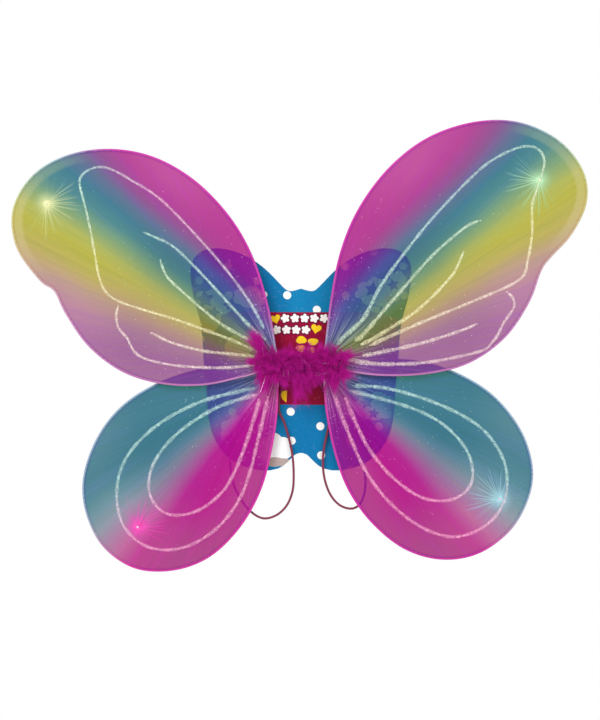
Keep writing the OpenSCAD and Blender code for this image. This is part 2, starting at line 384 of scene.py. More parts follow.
class Effects:
    """The effects that several finishes share, each one node group built once."""

    def __init__(self) -> None:
        """Builds every group."""
        self.grain = self._grain()
        self.weave = self._weave()
        self.wear = self._wear()

    @staticmethod
    def _grain() -> bpy.types.NodeTree:
        """Returns a fine grain: a height for bump and a mottle for colour and gloss."""
        tree, w = new_effect("fine_grain", ["Vector", "Scale"], ["Height", "Mottle"])
        start, end = tree.nodes.new("NodeGroupInput"), tree.nodes.new("NodeGroupOutput")
        fine = w.add("TexNoise", Vector=start.outputs["Vector"], Scale=start.outputs["Scale"], Detail=3.0)
        broad = w.add("TexNoise", Vector=start.outputs["Vector"], Detail=2.0)
        w.put(broad.inputs["Scale"], w.math("MULTIPLY", start.outputs["Scale"], 0.04))
        w.put(end.inputs["Height"], fine.outputs[0])
        w.put(end.inputs["Mottle"], w.step(broad.outputs[0], 0.3, 0.7))
        return tree

    @staticmethod
    def _weave() -> bpy.types.NodeTree:
        """Returns crossing threads from a flat coordinate whose unit is one thread."""
        tree, w = new_effect("crossed_threads", ["Vector"], ["Height"])
        start, end = tree.nodes.new("NodeGroupInput"), tree.nodes.new("NodeGroupOutput")
        x, y, _ = w.split(start.outputs["Vector"])
        over = w.math("SINE", w.scaled(w.math("ADD", x, y), math.pi))
        under = w.math("SINE", w.scaled(w.math("SUBTRACT", x, y), math.pi))
        w.put(end.inputs["Height"], w.scaled(w.math("MULTIPLY", over, under), 0.5, 0.5))
        return tree

    @staticmethod
    def _wear() -> bpy.types.NodeTree:
        """Returns a mask of small scuffs and specks of dust."""
        tree, w = new_effect("scuffs", ["Vector", "Scale", "Amount"], ["Mask"])
        start, end = tree.nodes.new("NodeGroupInput"), tree.nodes.new("NodeGroupOutput")
        spots = w.add("TexNoise", Vector=start.outputs["Vector"], Scale=start.outputs["Scale"], Detail=6.0)
        high = w.step(spots.outputs[0], 0.56, 0.72)
        w.put(end.inputs["Mask"], w.math("MULTIPLY", high, start.outputs["Amount"], clamp=True))
        return tree


EFFECTS = Effects()


def new_material(name: str) -> tuple[bpy.types.Material, Wiring, bpy.types.Node]:
    """Starts a material.

    Args:
        name: The material's name.

    Returns:
        The material, its wiring, and its output node.
    """
    material = bpy.data.materials.new(name)
    material.use_nodes = True
    material.node_tree.nodes.clear()
    w = Wiring(material.node_tree)
    return material, w, w.add("OutputMaterial")


# ---------------------------------------------------------------- finishes

@dataclass(frozen=True)
class SheerNylon:
    """Sheer knitted nylon, dyed in bands that fan out from the wing's root and gathered at one point."""

    name: str
    bands: Bands
    rim_highlight_bands: Stops
    turn: float
    tie: tuple[float, float]
    home: tuple[float, float]
    fold_and_highlight_colour: Colour
    widen: tuple[float, float] = (0.0, 0.0)
    red_share: float = 0.6
    shadow_lift_from: tuple[float, float] = (-6.0, 5.0)
    shadow_lift_fade_from: tuple[float, float] = (9.0, 16.0)
    spread: float = 100.0
    cover: float = 0.34
    reach: float = 0.26

    def _light(self, colour: Colour) -> tuple[Colour, Colour]:
        """Splits the colour that two layers show over white into one layer's dye and its tint.

        The yellower the colour, the more of it comes from the tint, which shows what lies behind.
        """
        seen = linear(colour)
        gold = seen[0] * seen[1]
        share = (self.red_share - 2.07 * gold, 0.02 + 1.9 * seen[1] * (1 - 2.9 * gold), 1 - 3 * gold)
        share = tuple(min(0.96, max(0.05, s)) for s in share)
        gap = 1 - self.cover
        tint = tuple(min(0.97, math.sqrt(c * (1 - s)) / gap) for c, s in zip(seen, share))
        dye = tuple(min(0.95, c * s / (self.cover * (1 + gap * t))) for c, s, t in zip(seen, share, tint))
        return dye, tint

    def _bands(self, w: Wiring, fan: Socket, outer: Socket) -> tuple[Socket, Socket]:
        """Returns the dye and the tint along the fan, mixed from the inner to the outer colours."""
        made = []
        for part in (0, 1):
            ramps = []
            for place in (1, 2):
                stops = [
                    (band[0] / self.spread + 0.5, self._light(band[place])[part]) for band in self.bands
                ]
                ramps.append(w.ramp(fan, stops))
            made.append(w.mix(outer, *ramps))
        return made[0], made[1]

    def _star(self, w: Wiring, x: Socket, z: Socket) -> Socket:
        """Returns how strongly the pale folds of the gather show, partly as paler fabric and partly as
        painted highlight: rays towards the root and a soft painted glow.
        """
        dx, dz = w.math("SUBTRACT", x, self.tie[0]), w.math("SUBTRACT", z, self.tie[1])
        apart = w.math("SQRT", w.math("ADD", w.math("MULTIPLY", dx, dx), w.math("MULTIPLY", dz, dz)))
        towards = w.math("ADD", w.scaled(dx, self.home[0]), w.scaled(dz, self.home[1]))
        facing = w.step(w.math("DIVIDE", towards, w.scaled(apart, 1.0, 0.0004)), -0.25, 0.55)
        around = w.math("ARCTAN2", dz, dx)
        wander = w.noise(w.vector(w.scaled(around, 1.5), w.scaled(apart, 30.0)), 1.0, 1.0)
        line = w.noise(w.vector(w.math("ADD", w.scaled(around, 11.0), w.scaled(wander, 2.2)), 3.0), 1.0, 1.0)
        rays = w.step(line, 0.45, 0.62)
        length = w.scaled(w.noise(w.vector(w.scaled(around, 4.0), 7.0), 1.0, 0.0), 0.032, 0.01)
        fade = w.math("POWER", w.math("SUBTRACT", 1.0, w.math("DIVIDE", apart, length), clamp=True), 0.8)
        rays = w.math("MULTIPLY", w.math("MULTIPLY", rays, fade), w.scaled(facing, 0.85, 0.15))
        # Painted highlight: a soft glow and a bright core round the tie, where the gathered folds would catch
        # the light.
        glow = w.math("POWER", w.step(apart, 0.016, 0.0), 1.8)
        core = w.step(apart, 0.0036, 0.001)
        middle = w.math("ADD", w.scaled(glow, 0.75), w.scaled(core, 0.6))
        return w.math("ADD", w.scaled(rays, 0.8), middle, clamp=True)

    def build(self) -> bpy.types.Material:
        """Returns the material."""
        material, w, out = new_material(self.name)
        u, v, _ = w.split(w.uv())
        place = w.place()
        x, _, z = w.split(place)
        radius = w.scaled(v, self.reach)
        drift = w.scaled(w.noise(place, 16.0, 1.0), 3.0, -1.5)
        angle = w.math("ADD", w.scaled(u, 180.0, -90.0 - self.turn), drift)
        near = w.math("EXPONENT", w.scaled(radius, -17.5, 0.875))
        above = w.math("GREATER_THAN", angle, 0.0)
        widening = w.math("MULTIPLY", near, w.scaled(above, self.widen[0] - self.widen[1], self.widen[1]))
        fan = w.scaled(w.math("DIVIDE", angle, w.scaled(widening, 1.0, 1.0)), 1 / self.spread, 0.5)
        dye, tint = self._bands(w, fan, w.step(radius, 0.11, 0.18))

        streak = w.step(w.noise(w.vector(w.scaled(u, 170.0), w.scaled(v, 2.2)), 1.0, 3.0), 0.4, 0.75)
        fine = w.noise(w.vector(w.scaled(u, 900.0), w.scaled(v, 9.0)), 1.0, 2.0)
        root = w.math("POWER", w.step(radius, 0.06, 0.01), 1.3)
        degrees = w.scaled(fan, self.spread, -self.spread / 2)
        # Painted light: where the display card lies behind, the thin mask makes the tint clearer. This lifts
        # the shade that the fabric casts on the card so that the card's print shows through
        backing = w.add("Attribute")
        backing.attribute_name = "backing"
        thin = w.math("MULTIPLY", w.step(backing.outputs["Fac"], 0.5, 0.95), w.step(degrees, *self.shadow_lift_from))
        thin = w.math("MULTIPLY", thin, w.scaled(w.step(degrees, *self.shadow_lift_fade_from), -0.6, 1.0))
        # Painted light: the lifted, clearer tint.
        bare = w.add("Gamma", Color=tint, Gamma=0.38)
        tint = w.mix(thin, tint, bare.outputs[0])
        star = self._star(w, x, z)

        rim = w.add("Attribute")
        rim.attribute_name = "rim"
        away = rim.outputs["Fac"]
        # Painted shade: in a narrow band from 0.6 to 2 mm inside the wire, the tint is darkened by mixing it
        # halfway to its own square.
        crease_shade = w.math("MULTIPLY", w.step(away, 0.6, 1.0), w.step(away, 2.0, 1.2))
        over_wire = w.step(away, 0.8, 0.3)
        hem = w.math("MULTIPLY", w.step(away, 9.5, 6.5), w.step(radius, 0.195, 0.235))
        hem = w.math("MULTIPLY", hem, w.step(degrees, 13.0, 6.0))

        # Over the wire the fabric is denser and lies on the white wire, and its colour is brightened towards
        # a painted rim highlight taken from the rim bands.
        rim_highlight = w.ramp(fan, [(a / self.spread + 0.5, linear(c)) for a, c in self.rim_highlight_bands])
        # Painted highlight: the dye turns pale where the folds would catch the light. It is cream along the
        # root pleat streaks and takes the fold colour at the gather, where it is also paler, less dyed
        # fabric.
        pale = w.math("ADD", star, w.math("MULTIPLY", streak, w.scaled(root, 0.75)), clamp=True)
        fold_and_highlight = w.mix(w.step(radius, 0.09, 0.06), linear(self.fold_and_highlight_colour), linear((240, 236, 206)))
        dye = w.mix(pale, dye, fold_and_highlight)
        dye = w.mix(w.scaled(hem, 0.28), dye, linear((216, 208, 188)))
        vivid = w.mix(w.scaled(over_wire, 0.55), dye, rim_highlight)
        # At the gather the tint turns pale as well, partly as paler, less dyed fabric and partly as painted
        # highlight.
        tint = w.mix(w.scaled(star, 0.75), tint, linear(self.fold_and_highlight_colour))
        tint = w.mix(w.scaled(hem, 0.16), tint, (0.8, 0.8, 0.72))
        tint = w.mix(w.scaled(crease_shade, 0.5), tint, w.mix(1.0, tint, tint, "MULTIPLY"))

        cover = w.math("ADD", w.scaled(streak, 0.06, self.cover - 0.03), w.scaled(fine, 0.08, -0.04))
        cover = w.math("ADD", cover, w.math("MULTIPLY", root, w.scaled(streak, 0.4)))
        cover = w.math("ADD", cover, w.math("ADD", w.scaled(star, 0.3), w.scaled(over_wire, 0.3)), clamp=True)

        threads = w.group(EFFECTS.weave, Vector=w.vector(w.scaled(x, 1600.0), w.scaled(z, 1600.0)))
        height = w.math("ADD", w.scaled(fine, 0.7), w.scaled(threads.outputs["Height"], 0.3))
        skin = w.add(
            "BsdfPrincipled", Base_Color=vivid, Roughness=w.scaled(fine, 0.2, 0.4), Sheen_Weight=0.12,
            Sheen_Roughness=0.35, Specular_IOR_Level=0.2, Normal=w.bump(height, 0.35, 0.0003),
        )
        clear = w.add("BsdfTransparent", Color=tint)
        both = w.add("MixShader", Fac=cover)
        w.put(both.inputs[1], clear.outputs[0])
        w.put(both.inputs[2], skin.outputs[0])
        w.put(out.inputs["Surface"], both.outputs[0])
        return material


@dataclass(frozen=True)
class Plain:
    """A solid surface with grain, mottled colour and scuffs, for coated wire, tape, thread and ties."""

    name: str
    colour: Colour
    second: Colour
    roughness: float
    grain: float = 1500.0
    relief: float = 0.0001
    metallic: float = 0.0
    coat: float = 0.0
    scuffs: float = 0.15
    transmission: float = 0.0

    def build(self) -> bpy.types.Material:
        """Returns the material."""
        material, w, out = new_material(self.name)
        place = w.place()
        grain = w.group(EFFECTS.grain, Vector=place, Scale=self.grain)
        scuffs = w.group(EFFECTS.wear, Vector=place, Scale=self.grain * 0.3, Amount=self.scuffs)
        colour = w.mix(grain.outputs["Mottle"], linear(self.colour), linear(self.second))
        colour = w.mix(scuffs.outputs["Mask"], colour, (0.8, 0.8, 0.8))
        rough = w.scaled(grain.outputs["Mottle"], 0.12, self.roughness)
        rough = w.math("ADD", rough, scuffs.outputs["Mask"], clamp=True)
        skin = w.add(
            "BsdfPrincipled", Base_Color=colour, Roughness=rough, Metallic=self.metallic,
            Coat_Weight=self.coat, Transmission_Weight=self.transmission,
            Normal=w.bump(grain.outputs["Height"], 0.5, self.relief),
        )
        w.put(out.inputs["Surface"], skin.outputs[0])
        return material


@dataclass(frozen=True)
class ClothTape:
    """Cloth tape wound round the hub in overlapping turns."""

    name: str
    colour: Colour
    second: Colour
    turn_width: float = 0.0046

    def build(self) -> bpy.types.Material:
        """Returns the material."""
        material, w, out = new_material(self.name)
        place = w.place()
        x, y, z = w.split(place)
        lean = w.math("ADD", w.math("ADD", x, w.scaled(z, 0.35)), w.scaled(y, 0.2))
        lap = w.math("FRACT", w.scaled(lean, 1 / self.turn_width))
        across = w.scaled(w.math("ADD", x, y), 2600.0)
        threads = w.group(EFFECTS.weave, Vector=w.vector(across, w.scaled(z, 2600.0)))
        edge = w.step(lap, 0.14, 0.0)
        colour = w.mix(threads.outputs["Height"], linear(self.second), linear(self.colour))
        colour = w.mix(w.scaled(edge, 0.6), colour, linear(self.second))
        height = w.math("ADD", w.scaled(threads.outputs["Height"], 0.3), w.scaled(lap, 0.7))
        skin = w.add(
            "BsdfPrincipled", Base_Color=colour, Roughness=0.7, Sheen_Weight=0.3,
            Normal=w.bump(height, 0.6, 0.0003),
        )
        w.put(out.inputs["Surface"], skin.outputs[0])
        return material


@dataclass(frozen=True)
class Down:
    """Dyed marabou down: the UV map holds a random share for each barb, and the share of its length."""

    name: str
    deep: Colour
    bright: Colour
    tip: Colour

    def build(self) -> bpy.types.Material:
        """Returns the material."""
        material, w, out = new_material(self.name)
        pick, up, _ = w.split(w.uv())
        patch = w.noise(w.place(), 130.0, 2.0)
        share = w.math("ADD", w.scaled(pick, 0.6), w.scaled(w.step(patch, 0.35, 0.65), 0.4))
        colour = w.mix(share, linear(self.deep), linear(self.bright))
        colour = w.mix(w.scaled(w.step(up, 0.45, 1.0), 0.7), colour, linear(self.tip))
        skin = w.add(
            "BsdfPrincipled", Base_Color=colour, Roughness=0.62, Sheen_Weight=0.25, Sheen_Roughness=0.3,
            Specular_IOR_Level=0.3,
        )
        glow = w.add("BsdfTranslucent", Color=colour)
        both = w.add("MixShader", Fac=0.45)
        w.put(both.inputs[1], skin.outputs[0])
        w.put(both.inputs[2], glow.outputs[0])
        w.put(out.inputs["Surface"], both.outputs[0])
        return material


@dataclass(frozen=True)
class Foil:
    """Bright foil for glitter and tinsel: the UV map holds each flake's random share and its band of dye."""

    name: str
    stops: Stops
    bands: Stops = ()
    roughness: float = 0.3
    metallic: float = 0.2

    def build(self) -> bpy.types.Material:
        """Returns the material."""
        material, w, out = new_material(self.name)
        pick, fan, _ = w.split(w.uv())
        colour = w.ramp(pick, [(p, linear(c)) for p, c in self.stops])
        if self.bands:
            local = w.ramp(fan, [(a / SheerNylon.spread + 0.5, linear(c)) for a, c in self.bands])
            colour = w.mix(w.scaled(pick, 0.5, 0.5), colour, local)
        skin = w.add(
            "BsdfPrincipled", Base_Color=colour, Metallic=self.metallic,
            Roughness=w.scaled(pick, 0.25, self.roughness), Coat_Weight=0.3, Coat_Roughness=0.2,
        )
        w.put(out.inputs["Surface"], skin.outputs[0])
        return material


@dataclass(frozen=True)
class ClearGlue:
    """Dried clear glue that carries the glitter, tinted by the dye under it: the UV map's V is the band."""

    name: str
    bands: Stops
    cover: float = 0.34

    def build(self) -> bpy.types.Material:
        """Returns the material."""
        material, w, out = new_material(self.name)
        place = w.place()
        grain = w.group(EFFECTS.grain, Vector=place, Scale=1800.0)
        speck = w.step(w.noise(place, 2600.0, 1.0), 0.45, 0.62)
        _, fan, _ = w.split(w.uv())
        local = w.ramp(fan, [(a / SheerNylon.spread + 0.5, linear(c)) for a, c in self.bands])
        colour = w.mix(w.scaled(speck, 0.35), local, linear((248, 248, 246)))
        cover = w.scaled(speck, 0.3, self.cover - 0.14)
        cover = w.math("ADD", cover, w.scaled(grain.outputs["Mottle"], 0.08), clamp=True)
        skin = w.add(
            "BsdfPrincipled", Base_Color=colour, Roughness=0.3, Alpha=cover,
            Normal=w.bump(grain.outputs["Height"], 0.8, 0.0003),
        )
        w.put(out.inputs["Surface"], skin.outputs[0])
        return material


@dataclass(frozen=True)
class BraidedElastic:
    """Round braided elastic: the UV map holds the share of a turn and the metres along."""

    name: str
    colour: Colour
    second: Colour

    def build(self) -> bpy.types.Material:
        """Returns the material."""
        material, w, out = new_material(self.name)
        turn, run, _ = w.split(w.uv())
        threads = w.group(EFFECTS.weave, Vector=w.vector(w.scaled(turn, 8.0), w.scaled(run, 1100.0)))
        grain = w.group(EFFECTS.grain, Vector=w.place(), Scale=2500.0)
        colour = w.mix(threads.outputs["Height"], linear(self.second), linear(self.colour))
        colour = w.mix(w.scaled(grain.outputs["Mottle"], 0.3), colour, linear(self.second))
        skin = w.add(
            "BsdfPrincipled", Base_Color=colour, Roughness=w.scaled(grain.outputs["Mottle"], 0.15, 0.45),
            Sheen_Weight=0.2, Normal=w.bump(threads.outputs["Height"], 0.5, 0.0002),
        )
        w.put(out.inputs["Surface"], skin.outputs[0])
        return material


@dataclass(frozen=True)
class PrintedCard:
    """The display card itself: a glossy dotted print in front, bare grey board at the edge and behind."""

    name: str
    front: float
    ground: Colour = (6, 122, 172)
    shade: Colour = (0, 108, 160)
    dot: Colour = (238, 240, 236)
    board: Colour = (176, 170, 160)
    columns: float = 0.0482
    pitch: float = 0.024
    dot_radius: float = 0.0033
    lean: float = 0.03
    shift: tuple[float, float] = (0.7, 0.104)

    def build(self) -> bpy.types.Material:
        """Returns the material."""
        material, w, out = new_material(self.name)
        place = w.place()
        x, y, z = w.split(place)
        leaned = w.math("ADD", x, w.scaled(z, self.lean))
        spots: Optional[Socket] = None
        for half in (0.0, 0.5):
            across = w.math("FRACT", w.scaled(leaned, 1 / self.columns, self.shift[0] + half))
            up = w.math("FRACT", w.scaled(z, 1 / self.pitch, self.shift[1] + half))
            dx = w.scaled(w.math("SUBTRACT", across, 0.5), self.columns)
            dz = w.scaled(w.math("SUBTRACT", up, 0.5), self.pitch)
            apart = w.math("SQRT", w.math("ADD", w.math("MULTIPLY", dx, dx), w.math("MULTIPLY", dz, dz)))
            spot = w.step(apart, self.dot_radius + 0.00015, self.dot_radius - 0.00015)
            spots = spot if spots is None else w.math("MAXIMUM", spots, spot)
        grain = w.group(EFFECTS.grain, Vector=place, Scale=900.0)
        scuffs = w.group(EFFECTS.wear, Vector=place, Scale=420.0, Amount=0.03)
        # Painted shade: darker streaks that run up the card where its slight waves turn from the light. The
        # same streaks also drive the bump.
        wave_shade = w.step(w.noise(w.vector(w.scaled(x, 34.0), w.scaled(z, 8.0)), 1.0, 1.0), 0.35, 0.65)
        ink = w.mix(wave_shade, linear(self.ground), linear(self.shade))
        ink = w.mix(spots, ink, linear(self.dot))
        ink = w.mix(scuffs.outputs["Mask"], ink, (0.85, 0.87, 0.9))
        board = w.mix(grain.outputs["Height"], linear(self.board), linear((150, 143, 132)))
        behind = w.step(y, self.front + 0.00012, self.front + 0.0002)
        colour = w.mix(behind, ink, board)
        skin = w.add(
            "BsdfPrincipled", Base_Color=colour, Roughness=w.scaled(behind, 0.35, 0.45),
            Specular_IOR_Level=0.12,
            Normal=w.bump(w.math("ADD", w.scaled(grain.outputs["Height"], 0.2), wave_shade), 0.15, 0.0006),
        )
        w.put(out.inputs["Surface"], skin.outputs[0])
        return material


@dataclass(frozen=True)
class Ink:
    """One printed ink of the card, with print mottle and the same gloss coat as the card."""

    name: str
    colour: Colour
    second: Colour

    def build(self) -> bpy.types.Material:
        """Returns the material."""
        material, w, out = new_material(self.name)
        place = w.place()
        grain = w.group(EFFECTS.grain, Vector=place, Scale=1400.0)
        scuffs = w.group(EFFECTS.wear, Vector=place, Scale=420.0, Amount=0.03)
        colour = w.mix(w.scaled(grain.outputs["Mottle"], 0.7), linear(self.colour), linear(self.second))
        colour = w.mix(scuffs.outputs["Mask"], colour, (0.85, 0.87, 0.9))
        skin = w.add(
            "BsdfPrincipled", Base_Color=colour, Roughness=w.scaled(grain.outputs["Mottle"], 0.08, 0.44),
            Specular_IOR_Level=0.12, Normal=w.bump(grain.outputs["Height"], 0.15, 0.0001),
        )
        w.put(out.inputs["Surface"], skin.outputs[0])
        return material


# ---------------------------------------------------------------- wings

class Layer(Enum):
    """The upper wings lie in front of the lower wings."""

    UPPER = "upper"
    LOWER = "lower"


class Side(Enum):
    """The side of the middle that a wing stands on, with the sign of its direction across."""

    LEFT = -1
    RIGHT = 1


# Degrees from the middle of the yellow band, or of the lower wings' colour change, each with the dye near
# the root and the dye far out
UPPER_BANDS: Bands = (
    (-40, (166, 112, 152), (172, 108, 156)), (-24, (158, 104, 148), (174, 116, 162)),
    (-18, (164, 118, 146), (184, 132, 160)), (-13, (176, 142, 128), (188, 155, 138)),
    (-9, (181, 163, 104), (192, 172, 94)), (-5, (178, 172, 90), (192, 178, 74)),
    (-2, (158, 167, 96), (176, 180, 92)), (1.5, (112, 148, 112), (124, 160, 120)),
    (4.5, (74, 125, 122), (80, 136, 136)), (7.5, (66, 116, 128), (66, 124, 136)),
    (10.5, (92, 116, 142), (98, 112, 142)), (13.5, (134, 92, 140), (146, 82, 140)),
    (17, (170, 64, 138), (178, 68, 144)), (21, (178, 60, 140), (188, 80, 152)),
    (40, (188, 70, 148), (192, 84, 156)),
)
LOWER_BANDS: Bands = (
    (-48, (176, 66, 138), (200, 96, 158)), (-30, (178, 60, 134), (174, 74, 134)),
    (-18, (180, 26, 132), (172, 70, 133)), (-10, (177, 34, 136), (186, 66, 140)),
    (-6, (165, 80, 146), (188, 106, 156)), (-2, (140, 110, 148), (166, 132, 162)),
    (1, (120, 126, 148), (144, 152, 164)), (5, (84, 126, 144), (110, 147, 157)),
    (9, (62, 118, 132), (84, 134, 146)), (14, (56, 116, 130), (76, 128, 140)),
    (24, (66, 124, 137), (92, 138, 148)), (44, (60, 116, 128), (80, 130, 142)),
)
# Painted rim highlight of the upper wings: the bright colours that the fabric takes over the wire, in degrees
# across the bands
RIM_HIGHLIGHT_BANDS: Stops = (
    (-40, (240, 120, 200)), (-18, (246, 196, 222)), (-8, (244, 238, 150)), (0, (214, 236, 190)),
    (8, (190, 226, 232)), (16, (240, 70, 180)), (40, (250, 20, 170)),
)
GLITTER_BANDS: Stops = (
    (-40, (232, 182, 216)), (-18, (238, 206, 210)), (-9, (240, 230, 160)), (-3, (228, 232, 164)),
    (5, (180, 222, 208)), (10, (170, 210, 222)), (17, (238, 142, 208)), (40, (242, 132, 204)),
)
LOWER_GLITTER_BANDS: Stops = (
    (-48, (246, 128, 200)), (-8, (250, 122, 204)), (2, (218, 192, 220)), (9, (166, 214, 220)),
)
# Painted rim highlight of the lower wings, in degrees across the bands
LOWER_RIM_HIGHLIGHT_BANDS: Stops = (
    (-48, (250, 40, 175)), (-8, (248, 60, 180)), (3, (214, 214, 232)), (40, (196, 230, 234)),
)

# Spacing of the map of the display card, and how far the map reaches past the card
MAP_STEP = 2 * MM
MAP_MARGIN = 20 * MM


@lru_cache
def card_map() -> tuple[Points, Points]:
    """Returns a soft-edged map of where the display card lies, as shares, and the map's lowest corner."""
    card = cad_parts["display_card"]
    low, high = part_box("display_card")
    corner = np.array([low.x, low.z]) - MAP_MARGIN
    columns, rows = ((np.array([high.x, high.z]) + MAP_MARGIN - corner) / MAP_STEP).astype(int) + 1

    def is_card(column: int, row: int) -> float:
        start = Vector((corner[0] + column * MAP_STEP, -1, corner[1] + row * MAP_STEP))
        return float(card.ray_cast(start, Vector((0, 1, 0)))[0])

    covered = np.array([[is_card(i, k) for k in range(rows)] for i in range(columns)])
    soft = np.exp(-(np.arange(-8, 9) / 2.6) ** 2)
    for axis in (0, 1):
        covered = np.apply_along_axis(np.convolve, axis, covered, soft / soft.sum(), "same")
    return covered, corner


def backing_at(flat: Points) -> Points:
    """Returns how much display card lies behind flat points: 1 well inside its outline, 0 beyond it."""
    covered, corner = card_map()
    at = np.clip((flat - corner) / MAP_STEP, 0, np.array(covered.shape) - 1.001)
    i, k = at.astype(int).T
    a, b = (at % 1).T
    return (
        covered[i, k] * (1 - a) * (1 - b) + covered[i + 1, k] * a * (1 - b)
        + covered[i, k + 1] * (1 - a) * b + covered[i + 1, k + 1] * a * b
    )


@dataclass
class Wing:
    """One wing: its fabric bag, glitter veins, tied gather, wire and eye."""

    layer: Layer
    side: Side
    turn: float
    widen: tuple[float, float]
    fold_and_highlight_colour: Colour
    seed: int
    glue: bpy.types.Material
    flakes: bpy.types.Material
    columns: int = 340
    rows: int = 78
    rim_rings: int = 9
    root_radius: float = 7.2 * MM
    wire_inset: float = 1.3 * MM
    skin_radius: float = 1.06 * MM
    middle_half: float = 0.42 * MM
    pleats: float = 26.0
    pleat_height: float = 0.95 * MM
    bead_width: float = 2.1 * MM
    bead_height: float = 0.42 * MM
    root_spread: float = 1.0
    root_reach: float = 0.0
    red_share: float = 0.6
    flakes_per_mm: float = 7.5
    name: str = field(init=False)

    def __post_init__(self) -> None:
        """Reads the wing's places from the frame."""
        self.name = f"{self.layer.value}_{self.side.name.lower()}"
        low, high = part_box(f"{self.name}_sleeve")
        self.front_y, self.middle_y = low.y, (low.y + high.y) / 2
        low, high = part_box(f"{self.name}_eye")
        self.pivot = np.array([(low.x + high.x) / 2, (low.z + high.z) / 2])
        low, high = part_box(f"{self.name}_gather")
        self.tie = np.array([(low.x + high.x) / 2, (low.z + high.z) / 2])
        if self.layer is Layer.LOWER:
            self.bead_width = 2.6 * MM
        self.random = np.random.default_rng(self.seed)
        self.phases = self.random.uniform(0, 2 * math.pi, 8)
        self.wire = self._wire_line()

    def _polar(self, flat: Points) -> tuple[Points, Points]:
        """Returns the angle above the outward direction and the distance from the root, for flat points."""
        rel = flat - self.pivot
        return np.arctan2(rel[..., 1], self.side.value * rel[..., 0]), np.hypot(rel[..., 0], rel[..., 1])

    def _wire_line(self) -> Points:
        """Returns the line of the wire: the sleeve's edge, moved in by the inset, as dense flat points."""
        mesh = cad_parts[f"{self.name}_sleeve"].data
        co = np.array([v.co for v in mesh.vertices])
        flat = np.unique(np.round(co[abs(co[:, 1] - self.front_y) < 1e-5][:, [0, 2]], 6), axis=0)
        angle, radius = self._polar(flat)
        keep = radius > radius.min() + 0.3 * MM
        order = np.argsort(angle[keep])
        edge = smooth_curve(flat[keep][order], 5)
        run = np.gradient(edge, axis=0)
        run /= np.linalg.norm(run, axis=1)[:, None]
        outward = np.column_stack([run[:, 1], -run[:, 0]]) * self.side.value
        return edge - outward * self.wire_inset

    def _relief(self, flat: Points) -> tuple[Points, Points, Points]:
        """Works out how the fabric lies at flat points.

        Args:
            flat: Points across and up.

        Returns:
            The shift of both layers from the wing's middle plane, half the gap between them, and the distance
            to the wire.
        """
        shape = flat.shape[:-1]
        flat = flat.reshape(-1, 2)
        line = along(self.wire, np.linspace(0, arc_length(self.wire)[-1], 420))
        to_wire = np.concatenate([
            np.sqrt(((chunk[:, None] - line[None]) ** 2).sum(-1)).min(1)
            for chunk in np.array_split(flat, max(1, len(flat) // 4000))
        ])
        angle, radius = self._polar(flat)
        a, b, c, d, e, f, g = self.phases[:7]
        wander = 0.5 * np.sin(5 * angle + a) + 0.3 * np.sin(11 * angle + b)
        coarse = np.sin(self.pleats * angle + 2.2 * wander + c)
        fine = np.sin(2.3 * self.pleats * angle + 3 * wander + d)
        inside = radius - self.root_radius
        root = self.pleat_height * np.exp(-inside / 0.017)
        far = 0.16 * MM * np.exp(-inside / 0.08)
        shift = root * (0.65 * coarse + 0.35 * fine) + far * (coarse * 0.4 + fine * 0.8)
        sway = np.sin(31 * flat[:, 0] + 19 * flat[:, 1] + e) * np.sin(23 * flat[:, 1] + f)
        shift = shift + 0.18 * MM * sway
        rel = flat - self.tie
        apart = np.hypot(rel[:, 0], rel[:, 1])
        around = np.arctan2(rel[:, 1], rel[:, 0])
        home = math.atan2(*(self.pivot - self.tie)[::-1])
        lean = 0.75 + 0.25 * np.cos(around - home)
        folds = np.sin(15 * around + 1.5 * np.sin(4 * around + g))
        folds = folds * np.exp(-apart / 0.0075) * (1 - np.exp(-apart / 0.001))
        shift = shift + 0.75 * MM * folds * lean
        half = self.middle_half + (self.skin_radius - self.middle_half) * np.exp(-((to_wire / 0.008) ** 2))
        pull = np.exp(-((apart / 0.006) ** 2))
        free = 1 - np.exp(-((to_wire / 0.003) ** 2))
        half = half * (1 - 0.75 * pull * free)
        return (shift * free).reshape(shape), half.reshape(shape), to_wire.reshape(shape)

    def _front(self, flat: Points, lift: Union[float, Points] = 0.0) -> Points:
        """Returns points on the wing's front layer, lifted off it by a distance."""
        shift, half, _ = self._relief(flat)
        y = self.middle_y - half + shift - lift
        return np.stack([flat[..., 0], y, flat[..., 1]], -1)

    def _samples(self) -> tuple[Points, Points]:
        """Returns the shares along the wire and from root to wire, closer at the gather and the root."""
        length = arc_length(self.wire)[-1]
        tie_angle, tie_radius = self._polar(self.tie)
        angle, radius = self._polar(self.wire)
        nearest = int(np.argmin(abs(angle - tie_angle)))
        tie_share = nearest / (len(self.wire) - 1)
        t = np.linspace(0, 1, 400)
        columns = even_steps(1 + 4.5 * np.exp(-(((t - tie_share) * length / 0.015) ** 2)), self.columns)
        depth = (tie_radius - self.root_radius) / (radius[nearest] - self.root_radius)
        weights = 1 + 3.5 * np.exp(-(((t - depth) / 0.07) ** 2)) + 2.5 * np.exp(-t / 0.07)
        return columns, even_steps(weights, self.rows)

